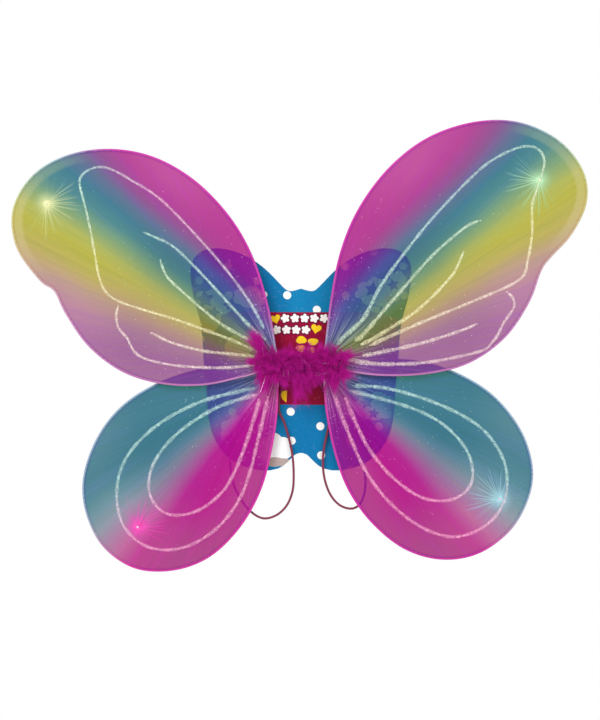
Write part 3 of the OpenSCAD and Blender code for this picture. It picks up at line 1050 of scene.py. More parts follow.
    def fabric(self) -> bpy.types.Object:
        """Builds the fabric bag: a front and a back layer that meet round the wire."""
        across, depth = self._samples()
        rim = along(self.wire, across * arc_length(self.wire)[-1])
        outward = rim - self.pivot
        outward /= np.linalg.norm(outward, axis=1)[:, None]
        root = self.pivot + outward * self.root_radius
        flat = root + depth[:, None, None] * (rim - root)
        shift, half, to_wire = self._relief(flat)
        y = self.middle_y + shift
        front = np.stack([flat[..., 0], y - half, flat[..., 1]], -1)
        back = np.stack([flat[..., 0], y + half, flat[..., 1]], -1)
        run = np.gradient(rim, axis=0)
        run /= np.linalg.norm(run, axis=1)[:, None]
        away = np.column_stack([run[:, 1], -run[:, 0]]) * self.side.value
        turn = np.linspace(-math.pi / 2, math.pi / 2, self.rim_rings + 2)[1:-1]
        ring = rim + (np.cos(turn) * self.skin_radius)[:, None, None] * away
        ring_y = np.broadcast_to((self.middle_y + np.sin(turn) * self.skin_radius)[:, None], ring.shape[:2])
        edge = np.stack([ring[..., 0], ring_y, ring[..., 1]], -1)
        points = np.concatenate([front, edge, back[::-1]])
        angle, radius = self._polar(points[..., [0, 2]])
        uv = np.stack([angle / math.pi + 0.5, radius / SheerNylon.reach], -1)
        quads = grid_quads(*points.shape[:2])
        if self.side is Side.LEFT:
            quads = quads[:, ::-1]
        piece = surface(f"{self.name}_fabric", points.reshape(-1, 3), quads, uv.reshape(-1, 2))
        distance = np.concatenate([to_wire, np.zeros(edge.shape[:2]), to_wire[::-1]]) / MM
        behind = backing_at(points[..., [0, 2]].reshape(-1, 2))
        for key, values in (("rim", distance.ravel()), ("backing", behind)):
            attribute = piece.data.attributes.new(key, "FLOAT", "POINT")
            attribute.data.foreach_set("value", values.astype(np.float32))
        bands = (UPPER_BANDS, RIM_HIGHLIGHT_BANDS) if self.layer is Layer.UPPER else (LOWER_BANDS, LOWER_RIM_HIGHLIGHT_BANDS)
        # Where the painted lift of the card's shade starts and fades, in degrees across the bands
        shadow_lift_from, shadow_lift_fade_from = (-6.0, 5.0), (9.0, 16.0)
        if self.layer is Layer.LOWER:
            shadow_lift_from, shadow_lift_fade_from = (-200.0, -199.0), (-4.0, -12.0)
        home = (self.pivot - self.tie) / np.linalg.norm(self.pivot - self.tie)
        nylon = SheerNylon(
            f"{self.name}_sheer_nylon", *bands, self.turn, tuple(self.tie.tolist()), tuple(home.tolist()),
            self.fold_and_highlight_colour, self.widen, self.red_share, shadow_lift_from, shadow_lift_fade_from,
        )
        set_material(piece, nylon.build())
        settle(piece, self.name, f"{self.layer.value}_wing_fabric", f"{self.name}_sleeve")
        return piece

    def _band(self, flat: Points) -> Points:
        """Returns the share across the dyed bands, as the fabric's material works it out, at flat points."""
        angle, radius = self._polar(flat)
        rel = np.degrees(angle) - self.turn
        widen = np.where(rel > 0, *self.widen) * np.exp(0.875 - 17.5 * radius)
        return np.clip(rel / (1 + widen) / SheerNylon.spread + 0.5, 0, 1)

    def _vein_lines(self) -> list[Points]:
        """Returns the middle line of each glitter vein, read from the outlines of its CAD beads."""
        mesh = bmesh.new()
        mesh.from_mesh(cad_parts[f"{self.name}_glitter"].data)
        bmesh.ops.remove_doubles(mesh, verts=mesh.verts, dist=1e-6)
        low = min(v.co.y for v in mesh.verts)
        faces = {f for f in mesh.faces if all(v.co.y < low + 1e-5 for v in f.verts)}
        ring: dict[bmesh.types.BMVert, list[bmesh.types.BMVert]] = {}
        for edge in mesh.edges:
            if sum(f in faces for f in edge.link_faces) == 1:
                a, b = edge.verts
                ring.setdefault(a, []).append(b)
                ring.setdefault(b, []).append(a)
        lines = []
        while ring:
            start = next(iter(ring))
            loop = [start]
            step = ring.pop(start)[0]
            while step in ring:
                loop.append(step)
                step = next((v for v in ring.pop(step) if v in ring), start)
            flat = np.array([(v.co.x, v.co.z) for v in loop])
            gaps = np.linalg.norm(np.roll(flat, -1, axis=0) - flat, axis=1)
            first = int(np.argmin(gaps)) + 1
            flat = np.roll(flat, -first, axis=0)
            half = len(flat) // 2
            lines.append((flat[:half] + flat[:half - 1:-1][:half]) / 2)
        mesh.free()
        return lines

    def _drawn_in(self, line: Points) -> Points:
        """Returns a vein's line with its inner end drawn in towards the root."""
        radius = self._polar(line)[1]
        line = line if radius[0] < radius[-1] else line[::-1]
        inward = (self.pivot - line[0]) / np.linalg.norm(self.pivot - line[0])
        return line if self.root_reach < 1 * MM else np.vstack([line[0] + inward * self.root_reach, line])

    def veins(self) -> bpy.types.Object:
        """Builds the glitter veins: lumpy beads of clear glue, set with foil flakes."""
        beads, flake_parts = [], []
        for line in self._vein_lines():
            path = smooth_curve(self._drawn_in(line), 6)
            length = arc_length(path)[-1]
            path = along(path, np.linspace(0, length, max(8, int(length / (0.7 * MM)))))
            beads.append(self._bead(path))
            flake_parts.append(self._flakes(path, int(length / MM * self.flakes_per_mm)))
        flake_parts.append(self._stray_flakes(260))
        points, quads = join(beads)
        band = self._band(points[:, [0, 2]])
        bead = surface(f"{self.name}_vein_glue", points, quads, np.column_stack([np.zeros(len(band)), band]))
        set_material(bead, self.glue)
        points = np.vstack([p for p, _ in flake_parts])
        picks = np.concatenate([k for _, k in flake_parts])
        quads = np.arange(len(points)).reshape(-1, 4)
        uv = np.column_stack([np.repeat(picks, 4), self._band(points[:, [0, 2]])])
        flakes = surface(f"{self.name}_vein_flakes", points, quads, uv)
        set_material(flakes, self.flakes)
        settle(bead, self.name, "glitter_glue", f"{self.name}_glitter")
        return settle(flakes, self.name, "glitter_glue")

    def _bead(self, path: Points) -> tuple[Points, Points]:
        """Returns a lumpy half-round bead along a flat path."""
        n = len(path)
        run = np.gradient(path, axis=0)
        run /= np.linalg.norm(run, axis=1)[:, None]
        side = np.column_stack([-run[:, 1], run[:, 0]])
        s = np.linspace(0, 1, n)
        lumps = 1 + 0.14 * np.sin(s * n * 0.23 + self.phases[0]) + self.random.normal(0, 0.12, n)
        ends = np.clip(np.minimum(s, 1 - s) * n / 6, 0.15, 1)
        near = np.exp(-self._polar(path)[1] / 0.045)
        width = self.bead_width / 2 * lumps * ends * (1 + 0.7 * self.root_spread * near)
        turn = np.linspace(0, math.pi, 6)
        flat = path + (np.cos(turn)[:, None, None] * width[:, None]) * side
        rough = 1 + self.random.normal(0, 0.18, (6, n))
        lift = np.sin(turn)[:, None] * self.bead_height * ends * rough - 0.03 * MM
        points = self._front(flat, lift)
        quads = grid_quads(6, n)
        if self.side is Side.LEFT:
            quads = quads[:, ::-1]
        return points.reshape(-1, 3), quads

    def _flakes(self, path: Points, count: int) -> tuple[Points, Points]:
        """Returns small tilted foil flakes set along a flat path, and a random share for each."""
        clumps = self.random.uniform(0, len(path) - 1, max(2, count // 7))
        at = self.random.choice(clumps, count) + self.random.normal(0, 0.9, count)
        at = np.clip(at, 0, len(path) - 1.001)
        i = at.astype(int)
        run = np.gradient(path, axis=0)[i]
        run /= np.linalg.norm(run, axis=1)[:, None]
        side = np.column_stack([-run[:, 1], run[:, 0]])
        spread = np.clip(self.random.normal(0, 0.33, count), -1, 1)
        centre = path[i] + (path[np.minimum(i + 1, len(path) - 1)] - path[i]) * (at - i)[:, None]
        widen = 1.05 + self.root_spread * np.exp(-self._polar(centre)[1] / 0.045)
        centre = centre + side * (spread * self.bead_width / 2 * widen)[:, None]
        crown = np.sqrt(np.clip(1 - spread**2, 0, 1))
        lift = self.bead_height * crown * self.random.uniform(0.8, 1.25, count)
        return self._flake_squares(centre, lift)

    def _stray_flakes(self, count: int) -> tuple[Points, Points]:
        """Returns single flakes that strayed onto the fabric near the root and along the veins."""
        line = along(self.wire, self.random.uniform(0.05, 0.95, count) * arc_length(self.wire)[-1])
        share = self.random.beta(1.3, 2.2, count)[:, None]
        return self._flake_squares(self.pivot + (line - self.pivot) * (0.16 + 0.78 * share), 0.05 * MM)

    def _flake_squares(self, flat: Points, lift: Union[float, Points]) -> tuple[Points, Points]:
        """Returns a square for each flat place, tilted at random, and a random share for each."""
        count = len(flat)
        centre = self._front(flat, lift)
        size = self.random.uniform(0.13, 0.36, count) * MM
        tilt = self.random.normal(0, 0.42, (count, 3)) + (0, -1, 0)
        tilt /= np.linalg.norm(tilt, axis=1)[:, None]
        u = np.cross(tilt, self.random.normal(size=(count, 3)))
        u /= np.linalg.norm(u, axis=1)[:, None]
        v = np.cross(tilt, u)
        corners = [u, v, -u, -v]
        points = np.stack([centre + c * size[:, None] for c in corners], 1)
        return points.reshape(-1, 3), self.random.uniform(0, 1, count)

    def gather(self, cloth: bpy.types.Material, thread: bpy.types.Material) -> bpy.types.Object:
        """Builds the gather: a puckered knob of pale fabric, bound with a few turns of thread."""
        x, z = (float(c) for c in self.tie)
        y = float(self._front(self.tie[None])[0, 1])
        bpy.ops.object.select_all(action="DESELECT")
        bpy.ops.mesh.primitive_uv_sphere_add(
            segments=26, ring_count=12, radius=1.05 * MM, location=(x, y - 0.3 * MM, z),
        )
        knob = bpy.context.object
        knob.scale = (1, 1, 0.62)
        knob.rotation_euler = (math.pi / 2, 0, 0)
        apply_all(knob)
        bpy.ops.object.mode_set(mode="EDIT")
        bpy.ops.mesh.select_all(action="DESELECT")
        bpy.ops.object.mode_set(mode="OBJECT")
        for vertex in knob.data.vertices:
            around = math.atan2(vertex.co.z - z, vertex.co.x - x)
            vertex.select = math.cos(13 * around) > 0.5
        bpy.ops.object.mode_set(mode="EDIT")
        bpy.ops.transform.resize(value=(0.8, 0.86, 0.8), center_override=(x, y, z))
        bpy.ops.object.mode_set(mode="OBJECT")
        knob.modifiers.new("round", "SUBSURF").levels = 1
        knob.modifiers["round"].render_levels = 1
        apply_all(knob)
        set_material(knob, cloth)
        turns = []
        for k in range(3):
            bpy.ops.mesh.primitive_torus_add(
                major_segments=30, minor_segments=8,
                major_radius=(1.02 - 0.1 * k) * MM, minor_radius=0.12 * MM,
                location=(x, y - (0.05 + 0.18 * k) * MM, z),
                rotation=(math.pi / 2 + 0.05 * (k - 1), 0.06 * k, 0),
            )
            turns.append(apply_all(bpy.context.object))
            set_material(turns[-1], thread)
        piece = join_pieces(f"{self.name}_tied_gather", [knob] + turns)
        bpy.ops.object.shade_smooth()
        return settle(piece, self.name, "gather_thread", f"{self.name}_gather")


# ---------------------------------------------------------------- feather trim

@dataclass
class Marabou:
    """One length of the feather trim: many soft plumes on a core, with a few strands of tinsel."""

    name: str
    body: str
    low_x: float
    high_x: float
    seed: int
    down: bpy.types.Material
    foil: bpy.types.Material
    hub_front: float
    plumes: int = 120
    barbs: int = 104
    tufts: Sequence[tuple[float, float, float, float, float]] = ()
    barb_width: float = 0.09 * MM

    def __post_init__(self) -> None:
        """Seeds the length's own random numbers."""
        self.random = np.random.default_rng(self.seed)

    def _plume(self, start: Points, direction: Points, length: float) -> tuple[Points, Points, Points]:
        """Builds one plume.

        Args:
            start: Where its quill leaves the core.
            direction: The way that the quill points.
            length: The quill's length.

        Returns:
            Its points, faces and UV rows.
        """
        r, count = self.random, self.barbs
        direction = direction / np.linalg.norm(direction)
        droop = np.array([0, 0, -0.25])
        bend = r.normal(0, 0.35, 3) + droop
        t = np.sort(r.beta(1.1, 1.0, count))
        quill = start + length * (t[:, None] * direction + (t**2)[:, None] * bend * 0.35)
        side = np.cross(direction, r.normal(size=(count, 3)))
        side /= np.linalg.norm(side, axis=1)[:, None]
        heading = direction + side * r.uniform(0.25, 1.0, count)[:, None] + r.normal(0, 0.12, (count, 3))
        heading /= np.linalg.norm(heading, axis=1)[:, None]
        reach = length * r.uniform(0.3, 0.62, count) * (1 - 0.4 * t)
        curl = r.normal(0, 0.45, (count, 3)) + 0.4 * direction + droop * 0.5
        s = np.array([0, 0.34, 0.68, 1.0])
        bent = s[:, None] * heading[:, None] + (s**2)[:, None] * curl[:, None] * 0.4
        line = quill[:, None] + reach[:, None, None] * bent
        flat = np.cross(heading, r.normal(size=(count, 3)))
        flat /= np.linalg.norm(flat, axis=1)[:, None]
        width = self.barb_width * np.array([1.0, 0.85, 0.6, 0.15])
        half = flat[:, None] * width[:, None] / 2
        points = np.stack([line - half, line + half], 2)
        base = np.arange(count)[:, None, None] * 8 + np.arange(3)[:, None] * 2
        quads = (base + np.array([0, 1, 3, 2])).reshape(-1, 4)
        pick = np.clip(r.uniform(0, 1) * 0.5 + r.uniform(0, 0.5, count), 0, 1)
        uv = np.stack(np.broadcast_arrays(pick[:, None, None], s[:, None]), -1)
        uv = np.broadcast_to(uv, (count, 4, 2, 2)) if uv.shape[2] == 1 else uv
        return points.reshape(-1, 3), quads, uv.reshape(-1, 2)

    def build(self) -> bpy.types.Object:
        """Builds the plumes and the tinsel, and joins them into one piece."""
        r = self.random
        parts, maps = [], []
        for _ in range(self.plumes):
            x = r.uniform(self.low_x, self.high_x)
            lean = r.uniform(-0.15, 1.15) * math.pi
            out = np.array([r.normal(0, 0.35), -abs(math.sin(lean)) * 0.9 - 0.1, math.cos(lean)])
            start = np.array([x, self.hub_front - 1.5 * MM, r.normal(0, 3.5 * MM)])
            points, quads, uv = self._plume(start, out, r.uniform(7.5, 13) * MM)
            parts.append((points, quads))
            maps.append(uv)
        for x, z, tip_x, tip_z, strength in self.tufts:
            for _ in range(int(16 * strength)):
                start = np.array([x, self.hub_front - r.uniform(1, 6) * MM, z]) + r.normal(0, 1.6 * MM, 3)
                end = np.array([tip_x, self.hub_front - r.uniform(1, 7) * MM, tip_z])
                end = end + r.normal(0, 2.4 * MM, 3)
                length = float(np.linalg.norm(end - start)) * 0.86
                points, quads, uv = self._plume(start, end - start, length)
                parts.append((points, quads))
                maps.append(uv)
        points, quads = join(parts)
        out = self.hub_front - points[:, 1]
        points[:, 1] = self.hub_front - np.maximum(15 * MM * np.tanh(out / (15 * MM)), -3.2 * MM)
        uv = np.vstack(maps)
        fluff = surface(self.name, points, quads, uv)
        set_material(fluff, self.down)
        tinsel = self._tinsel()
        piece = join_pieces(self.name, [fluff, tinsel])
        return piece

    def _tinsel(self) -> bpy.types.Object:
        """Builds a few thin strands of foil that stand out of the down."""
        r, count = self.random, 6
        strands = []
        for _ in range(count):
            start = np.array([
                r.uniform(self.low_x, self.high_x),
                self.hub_front - r.uniform(4, 7) * MM,
                r.normal(0, 5 * MM),
            ])
            way = np.array([r.normal(0, 0.8), -0.45, r.normal(0, 0.8)])
            way /= np.linalg.norm(way)
            s = np.linspace(0, 1, 9)[:, None]
            bend = r.normal(0, 0.5, 3)
            line = start + r.uniform(6, 11) * MM * (s * way + s**2 * bend * 0.5)
            flat = np.cross(way, r.normal(size=3))
            flat /= np.linalg.norm(flat)
            points = np.stack([line - flat * 0.09 * MM, line + flat * 0.09 * MM], 1).reshape(-1, 3)
            quads = np.arange(8)[:, None] * 2 + np.array([0, 1, 3, 2])
            strands.append((points, quads))
        points, quads = join(strands)
        uv = np.column_stack([np.repeat(r.uniform(0, 1, count), 18), np.zeros(len(points))])
        piece = surface(self.name + "_tinsel", points, quads, uv)
        set_material(piece, self.foil)
        return piece


# ---------------------------------------------------------------- straps

@dataclass
class Strap:
    """One elastic arm strap and the knot that both its ends are tied in."""

    side: Side
    route: Sequence[tuple[float, float]]
    material: bpy.types.Material
    diameter: float = 2.0 * MM
    strands: int = 8
    ring_gap: float = 0.36 * MM
    sides: int = 14

    def build(self) -> None:
        """Builds the braided cord along its route, and its knot."""
        name = self.side.name.lower()
        low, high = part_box(f"strap_{name}")
        y = (low.y + high.y) / 2
        flat = smooth_curve(np.array(self.route) * MM, 8)
        path = np.column_stack([flat[:, 0], np.full(len(flat), y), flat[:, 1]])
        length = float(arc_length(path)[-1])
        path = along(path, np.linspace(0, length, int(length / self.ring_gap)))
        run = arc_length(path)[:, None]
        turn = np.linspace(0, 2 * math.pi, self.sides, endpoint=False)
        braid = np.sin(self.strands / 2 * turn + run * 1700) * np.sin(self.strands / 2 * turn - run * 1700)
        radii = self.diameter / 2 * (0.97 + 0.045 * braid)
        points, quads, uv = tube(path, radii, self.sides, Vector((0, 1, 0)))
        caps = [list(range(self.sides))[::-1], list(range(len(points) - self.sides, len(points)))]
        cord = surface(f"elastic_strap_{name}", points, quads, uv)
        mesh = bmesh.new()
        mesh.from_mesh(cord.data)
        mesh.verts.ensure_lookup_table()
        for cap in caps:
            mesh.faces.new([mesh.verts[i] for i in cap])
        bmesh.ops.recalc_face_normals(mesh, faces=mesh.faces)
        mesh.to_mesh(cord.data)
        mesh.free()
        set_material(cord, self.material)
        settle(cord, "centre", "elastic", f"strap_{name}")
        knot = self._knot(name)
        log.info("strap %s: %.0f mm, knot %s", name, length / MM, knot.name)

    def _knot(self, name: str) -> bpy.types.Object:
        """Builds the strap's overhand knot."""
        low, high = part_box(f"strap_knot_{name}")
        centre = (low + high) / 2
        t = np.linspace(0, 2 * math.pi, 121)
        r, depth = (high.x - low.x) / 2 - self.diameter / 2, (high.y - low.y) / 2 - self.diameter / 2
        x = (np.sin(t) + 2 * np.sin(2 * t)) / 3 * r
        z = (np.cos(t) - 2 * np.cos(2 * t)) / 3 * r
        y = -np.sin(3 * t) * depth
        path = np.column_stack([x, y, z]) + np.array(centre)
        points, quads, uv = tube(path, np.full(121, self.diameter / 2 * 0.95), 12, Vector((0.1, 1, 0.1)))
        piece = surface(f"elastic_knot_{name}", points, quads, uv)
        set_material(piece, self.material)
        return settle(piece, "centre", "elastic", f"strap_knot_{name}")


# ---------------------------------------------------------------- display card

@dataclass
class CardPrint:
    """The shapes printed on the card, each a thin layer of ink on its front."""

    crimson: bpy.types.Material
    white: bpy.types.Material
    yellow: bpy.types.Material
    cloud: bpy.types.Material
    navy: bpy.types.Material
    plum: bpy.types.Material
    orange: bpy.types.Material
    grey: bpy.types.Material
    ink: float = 0.03 * MM
    _parts: list[bpy.types.Object] = field(default_factory=list)

    def _shape(
        self, name: str, outline: Sequence[tuple[float, float]], level: int, material: bpy.types.Material,
    ) -> None:
        """Adds one flat shape of ink.

        Args:
            name: The shape's name.
            outline: Its corners across and up, in millimetres.
            level: How many layers of ink lie under it.
            material: Its ink.
        """
        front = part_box("display_card")[0].y - 0.004 * MM
        corners = self._on_card(outline)
        bpy.ops.object.select_all(action="DESELECT")
        bpy.ops.mesh.primitive_circle_add(
            vertices=len(corners), radius=MM, fill_type="NGON",
            location=(0, front, 0), rotation=(math.pi / 2, 0, 0),
        )
        piece = apply_all(bpy.context.object)
        piece.name = name
        for vertex, (x, z) in zip(piece.data.vertices, corners):
            vertex.co = (x * MM, front, z * MM)
        bpy.ops.object.mode_set(mode="EDIT")
        bpy.ops.mesh.select_all(action="SELECT")
        bpy.ops.mesh.extrude_region_move(TRANSFORM_OT_translate={"value": (0, -self.ink * (level + 1), 0)})
        bpy.ops.mesh.select_all(action="SELECT")
        bpy.ops.mesh.normals_make_consistent(inside=False)
        bpy.ops.object.mode_set(mode="OBJECT")
        set_material(piece, material)
        self._parts.append(piece)

    @staticmethod
    def _on_card(outline: Sequence[tuple[float, float]]) -> list[tuple[float, float]]:
        """Draws the corners of an outline in until they all lie on the card."""
        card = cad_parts["display_card"]
        flat = np.array(outline)
        middle = flat.mean(0)
        for _ in range(60):
            off = [not card.ray_cast(Vector((x * MM, -1, z * MM)), Vector((0, 1, 0)))[0] for x, z in flat]
            if not any(off):
                break
            flat[off] = middle + (flat[off] - middle) * 0.97
        return [tuple(row) for row in flat.tolist()]

    @staticmethod
    def _disc(x: float, z: float, radius: float, sides: int = 28) -> list[tuple[float, float]]:
        """Returns a circle's outline."""
        turns = np.linspace(0, 2 * math.pi, sides, endpoint=False)
        return [(x + radius * math.cos(t), z + radius * math.sin(t)) for t in turns]

    @staticmethod
    def _star(x: float, z: float, radius: float, lean: float = 0.0) -> list[tuple[float, float]]:
        """Returns a five-pointed star's outline."""
        out = []
        for k in range(10):
            r = radius if k % 2 == 0 else radius * 0.5
            a = math.radians(90 + lean + 36 * k)
            out.append((x + r * math.cos(a), z + r * math.sin(a)))
        return out

    @staticmethod
    def _heart(x: float, z: float, size: float, lean: float = 0.0) -> list[tuple[float, float]]:
        """Returns a heart's outline."""
        out = []
        c, s = math.cos(math.radians(lean)), math.sin(math.radians(lean))
        for t in np.linspace(0, 2 * math.pi, 30, endpoint=False):
            u = 16 * math.sin(t) ** 3 / 17 * size
            v = (13 * math.cos(t) - 5 * math.cos(2 * t) - 2 * math.cos(3 * t) - math.cos(4 * t)) / 17 * size
            out.append((x + u * c - v * s, z + u * s + v * c))
        return out

    @staticmethod
    def _cloud(
        x: float, z: float, width: float, height: float, lobes: int, turn: float, depth: float = 0.16,
    ) -> list[tuple[float, float]]:
        """Returns a scalloped cloud's outline."""
        out = []
        for t in np.linspace(0, 2 * math.pi, 12 * lobes, endpoint=False):
            bulge = 1 - depth + depth * abs(math.sin(lobes / 2 * t + turn))
            out.append((x + width / 2 * bulge * math.cos(t), z + height / 2 * bulge * math.sin(t)))
        return out

    def build(self) -> bpy.types.Object:
        """Builds the whole print: a blank title band, clouds, stars, hearts, moons and a butterfly."""
        band = [
            (-79, -33.5), (77, -33.5), (80, -10), (81, 14), (80, 38), (60, 44),
            (20, 43.5), (-20, 43.5), (-60, 44), (-80, 38), (-81, 14), (-80, -10),
        ]
        self._shape("title_band", band, 0, self.crimson)
        for k, (x, z, width, height, lobes) in enumerate((
            (-74, 50, 34, 26, 7), (-42, 56, 30, 18, 6), (64, 60, 40, 24, 8), (80, 70, 14, 16, 5),
            (-52, -54, 30, 26, 7), (62, -34, 38, 24, 8), (-22, -70, 30, 28, 7),
        )):
            self._shape("cloud", self._cloud(x, z, width, height, lobes, 0.4 * k), 1 + k % 2, self.cloud)
        for x, z, r, lean, ink in (
            (-79, 54, 8, 8, self.navy), (-72, 43, 5.5, -12, self.navy), (-59, 50, 5.5, 20, self.navy),
            (59, 62, 7, -8, self.navy), (76, 66, 5.5, 14, self.navy), (72, 55, 4.5, 0, self.yellow),
            (54, -31, 6, 10, self.navy), (60, -40, 5, -8, self.navy), (73, -35, 5, 6, self.yellow),
            (-58, -62, 7, -10, self.navy), (-42, -71, 6, 12, self.crimson),
        ):
            self._shape("star", self._star(x, z, r, lean), 4, ink)
        self._shape("moon", self._disc(-78, 38, 12), 3, self.yellow)
        self._shape("side_patch", self._disc(-52, 14, 11), 3, self.yellow)
        self._shape("heart", self._heart(12.5, 30, 4.6, -12), 4, self.yellow)
        self._shape("heart", self._heart(-21, 38, 4.4, 15), 4, self.yellow)
        for z, places in ((38.5, (-13, -5, 3, 11, 19)), (29, (-20, -12, -4, 4))):
            for k, x in enumerate(places):
                self._shape("flower_edge", self._cloud(x, z, 9.4, 9.4, 5, 0.5 * k, 0.3), 4, self.plum)
                self._shape("flower", self._cloud(x, z, 7.6, 7.6, 5, 0.5 * k, 0.38), 5, self.white)
        self._butterfly(4.5, 16.0)
        self._shape("leaf", [(-17, -22), (-11.5, -21), (-12, -31), (-15.5, -28)], 4, self.yellow)
        self._shape("cloud_foot", self._cloud(-20, -80, 24, 8, 5, 0.2), 3, self.grey)
        piece = join_pieces("card_print", self._parts)
        return settle(piece, "centre", "printed_card")

    def _butterfly(self, x: float, z: float) -> None:
        """Adds a plain four-winged butterfly with a dark body."""
        for dx, dz, width, height, lean in (
            (-4.2, 4.6, 9, 6.6, 2.2), (5.4, 3.2, 9, 6.0, 0.9),
            (-4.8, -2.4, 8, 6.0, 0.4), (3.6, -3.8, 7, 5.4, 2.7),
        ):
            outline = self._cloud(x + dx, z + dz, width, height, 3, lean)
            self._shape("butterfly_wing", outline, 4, self.yellow if dz > 0 else self.orange)
        body = [(x - 4, z + 1.6), (x - 3.2, z + 2.1), (x + 4.2, z - 0.9), (x + 3.8, z - 1.7)]
        self._shape("butterfly_body", body, 5, self.crimson)


# ---------------------------------------------------------------- studio

@dataclass
class Studio:
    """A white sweep, soft lights and the camera."""

    distance: float = 1.3895
    lens: float = 85.0
    aim: tuple[float, float, float] = (-0.0008, -0.003, 0.0041)
    floor_z: float = -0.36
    wall_y: float = 2.9
    half_width: float = 4.5

    def camera(self) -> None:
        """Places the camera straight in front of the wings."""
        data = bpy.data.cameras.new("camera")
        data.lens = self.lens
        data.clip_end = 30
        camera = bpy.data.objects.new("camera", data)
        camera.location = (self.aim[0], self.aim[1] - self.distance, self.aim[2])
        camera.rotation_euler = (math.pi / 2, 0, 0)
        bpy.context.scene.collection.objects.link(camera)
        bpy.context.scene.camera = camera

    def sweep(self) -> None:
        """Builds the white floor that curves up into a wall."""
        bend = 0.5
        turn = np.linspace(0, math.pi / 2, 12)
        profile = [(-4.0, 0.0)]
        profile += [(self.wall_y - bend + bend * math.sin(a), bend - bend * math.cos(a)) for a in turn]
        profile.append((self.wall_y, 5.0))
        ends = (-self.half_width, self.half_width)
        rows = np.array([[(x, y, z + self.floor_z) for y, z in profile] for x in ends])
        piece = surface("sweep", rows.reshape(-1, 3), grid_quads(2, len(profile)))
        material, w, out = new_material("white_sweep")
        w.put(out.inputs["Surface"], w.add("Emission", Color=(1.0, 1.0, 1.0), Strength=1.0).outputs[0])
        set_material(piece, material)

    def lights(self) -> None:
        """Places the soft lights and the world's even light."""
        world = bpy.data.worlds.new("studio")
        bpy.context.scene.world = world
        world.use_nodes = True
        world.node_tree.nodes["Background"].inputs["Color"].default_value = (1, 1, 1, 1)
        world.node_tree.nodes["Background"].inputs["Strength"].default_value = 0.55
        for name, place, size, power in (
            ("key", (-1.1, -1.7, 1.3), 1.1, 34.0), ("fill", (1.4, -1.6, 0.5), 1.4, 14.0),
            ("back", (0.4, 0.6, 1.6), 1.0, 6.0),
        ):
            data = bpy.data.lights.new(name, "AREA")
            data.size = size
            data.energy = power
            lamp = bpy.data.objects.new(name, data)
            lamp.location = place
            lamp.rotation_euler = (Vector((0, 0, 0)) - Vector(place)).to_track_quat("-Z", "Y").to_euler()
            bpy.context.scene.collection.objects.link(lamp)
        bpy.context.scene.view_settings.view_transform = "Standard"


# Routes of the straps, across and up from the hub, in millimetres
STRAP_LEFT = (
    (-6, -4), (-10, -10), (-15, -18), (-18, -28), (-18, -38), (-14, -47), (-10, -60), (-7, -75),
    (-6, -90), (-7, -104), (-12, -116), (-21, -124), (-32, -126), (-43, -119), (-52, -106), (-57, -92),
    (-58, -76), (-54, -58), (-46, -41), (-34, -25), (-20, -11), (-8, -2),
)
STRAP_RIGHT = (
    (6, -4), (11, -9), (17, -17), (22, -28), (24, -40), (22, -54), (19, -68), (18, -82),
    (20, -96), (25, -108), (33, -116), (43, -118), (50, -112), (53, -99), (52, -84), (49, -68),
    (45, -52), (38, -36), (29, -22), (18, -10), (8, -2),
)


def build_wings() -> None:
    """Builds the four wings and dresses their wires and eyes."""
    sparkle = ((0.0, (196, 214, 220)), (0.3, (238, 240, 240)), (0.6, (252, 250, 246)), (1.0, (226, 236, 232)))
    finishes = {
        layer: (
            ClearGlue(f"{layer.value}_glitter_glue", bands).build(),
            Foil(f"{layer.value}_glitter_flakes", sparkle, bands).build(),
            Plain(f"{layer.value}_gathered_cloth", *knob, 0.55, grain=3000.0).build(),
        )
        for layer, bands, knob in (
            (Layer.UPPER, GLITTER_BANDS, ((232, 240, 196), (214, 226, 176))),
            (Layer.LOWER, LOWER_GLITTER_BANDS, ((244, 150, 214), (214, 190, 226))),
        )
    }
    wire = Plain("coated_wire", (240, 236, 238), (224, 218, 224), 0.35, coat=0.3, scuffs=0.08).build()
    thread = Plain("white_thread", (244, 242, 236), (220, 216, 206), 0.7, grain=4000.0).build()
    for layer, side, turn, widen, fold_and_highlight_colour, seed in (
        (Layer.UPPER, Side.LEFT, 34.5, (1.6, 0.9), (240, 240, 190), 11),
        (Layer.UPPER, Side.RIGHT, 39.5, (1.75, 0.7), (206, 242, 206), 12),
        (Layer.LOWER, Side.LEFT, -43.5, (0.0, 0.0), (255, 96, 204), 13),
        (Layer.LOWER, Side.RIGHT, -39.5, (0.0, 0.0), (190, 232, 240), 14),
    ):
        glue, flakes, cloth = finishes[layer]
        wing = Wing(layer, side, turn, widen, fold_and_highlight_colour, seed, glue, flakes)
        if (layer, side) == (Layer.UPPER, Side.RIGHT):
            wing.root_reach, wing.root_spread, wing.bead_width = 8 * MM, 1.9, 2.3 * MM
        if (layer, side) == (Layer.LOWER, Side.LEFT):
            wing.red_share = 0.86
        wing.fabric()
        wing.veins()
        wing.gather(cloth, thread)
        for part in ("frame", "eye"):
            dress(f"{wing.name}_{part}", wire)


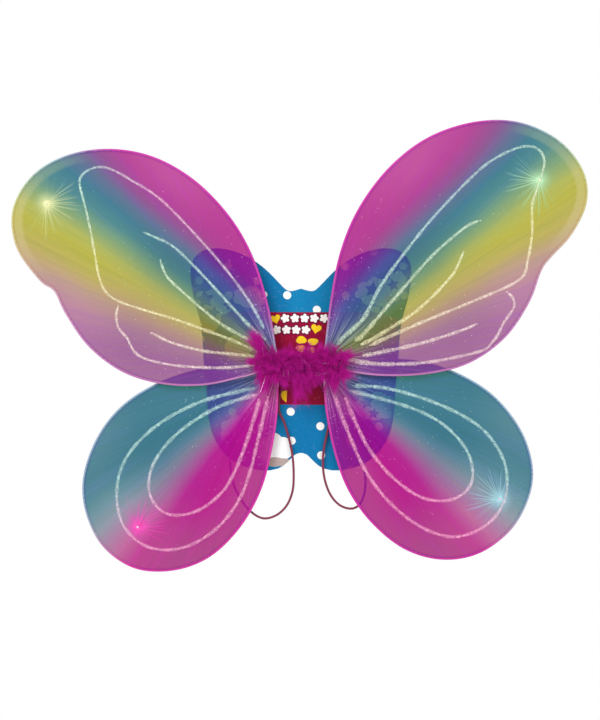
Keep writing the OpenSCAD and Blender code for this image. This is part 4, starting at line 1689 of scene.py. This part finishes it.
def build_hub() -> None:
    """Dresses the wrapped roots and the bar, and builds the feather trim over them."""
    tape = ClothTape("hub_tape", (176, 20, 128), (128, 6, 92)).build()
    for node in ("left_root_wrap", "right_root_wrap", "centre_wrap"):
        dress(node, tape)
    bar = Plain("twisted_bar", (176, 176, 180), (140, 140, 146), 0.35, metallic=1.0, coat=0.0).build()
    dress("centre_bar", bar)
    down = Down("marabou_down", (190, 0, 146), (222, 6, 182), (238, 44, 208)).build()
    strands = ((0.0, (250, 200, 238)), (0.5, (255, 244, 252)), (1.0, (244, 170, 226)))
    foil = Foil("tinsel", strands, roughness=0.15, metallic=0.6).build()
    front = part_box("marabou_centre")[1].y
    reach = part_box("marabou_right")[1].x
    lengths = (
        Marabou(
            "marabou_fluff_centre", "centre", -11 * MM, 11 * MM, 31, down, foil, front, plumes=235,
            tufts=((-0.002, -0.004, -0.002, -0.026, 1.2), (0.006, -0.002, 0.005, -0.017, 0.8)),
        ),
        Marabou(
            "marabou_fluff_left", "left_root", -reach + 8 * MM, -9 * MM, 32, down, foil, front, plumes=240,
            tufts=(
                (-0.028, 0.006, -0.040, 0.026, 1.6), (-0.026, -0.004, -0.030, -0.018, 1.4),
                (-0.034, 0.003, -0.0415, 0.003, 0.8), (-0.016, -0.004, -0.012, -0.016, 0.8),
            ),
        ),
        Marabou(
            "marabou_fluff_right", "right_root", 9 * MM, reach - 9 * MM, 33, down, foil, front, plumes=240,
            tufts=(
                (0.030, 0.004, 0.041, 0.010, 1.0), (0.030, -0.003, 0.039, -0.009, 1.2),
                (0.020, 0.004, 0.018, 0.017, 0.9), (0.026, -0.004, 0.029, -0.016, 1.0),
            ),
        ),
    )
    for trim in lengths:
        piece = trim.build()
        part = trim.name.rsplit("_", 1)[1]
        if trim.body == "centre":
            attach(piece, "centre")
        else:
            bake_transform(piece)
        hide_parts(f"marabou_{part}")
        log.info("%s: %d faces", piece.name, len(piece.data.polygons))


def build_card() -> None:
    """Dresses the display card and its tie, and prints the card."""
    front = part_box("display_card")[0].y
    dress("display_card", PrintedCard("printed_card", front).build())
    clear = Plain("clear_tie", (235, 238, 240), (220, 226, 230), 0.2, transmission=0.6, scuffs=0.02).build()
    dress("card_tie", clear)
    CardPrint(
        crimson=Ink("crimson_ink", (150, 0, 52), (136, 0, 44)).build(),
        white=Ink("white_ink", (248, 240, 236), (238, 226, 222)).build(),
        yellow=Ink("yellow_ink", (250, 214, 30), (242, 190, 26)).build(),
        cloud=Ink("cloud_ink", (244, 244, 240), (228, 232, 234)).build(),
        navy=Ink("navy_ink", (20, 84, 120), (12, 70, 106)).build(),
        plum=Ink("plum_ink", (92, 6, 50), (78, 2, 42)).build(),
        orange=Ink("orange_ink", (240, 158, 34), (228, 136, 26)).build(),
        grey=Ink("grey_ink", (176, 158, 152), (160, 144, 140)).build(),
    ).build()


def main() -> None:
    """Builds the studio, the cords, and then each part of the wings."""
    logging.basicConfig(level=logging.INFO, format="%(name)s: %(message)s")
    studio = Studio()
    studio.camera()
    elastic = BraidedElastic("elastic_cord", (150, 26, 74), (84, 8, 38)).build()
    Strap(Side.LEFT, STRAP_LEFT, elastic).build()
    Strap(Side.RIGHT, STRAP_RIGHT, elastic).build()
    build_wings()
    build_hub()
    build_card()
    studio.sweep()
    studio.lights()


if __name__ == "__main__":
    main()
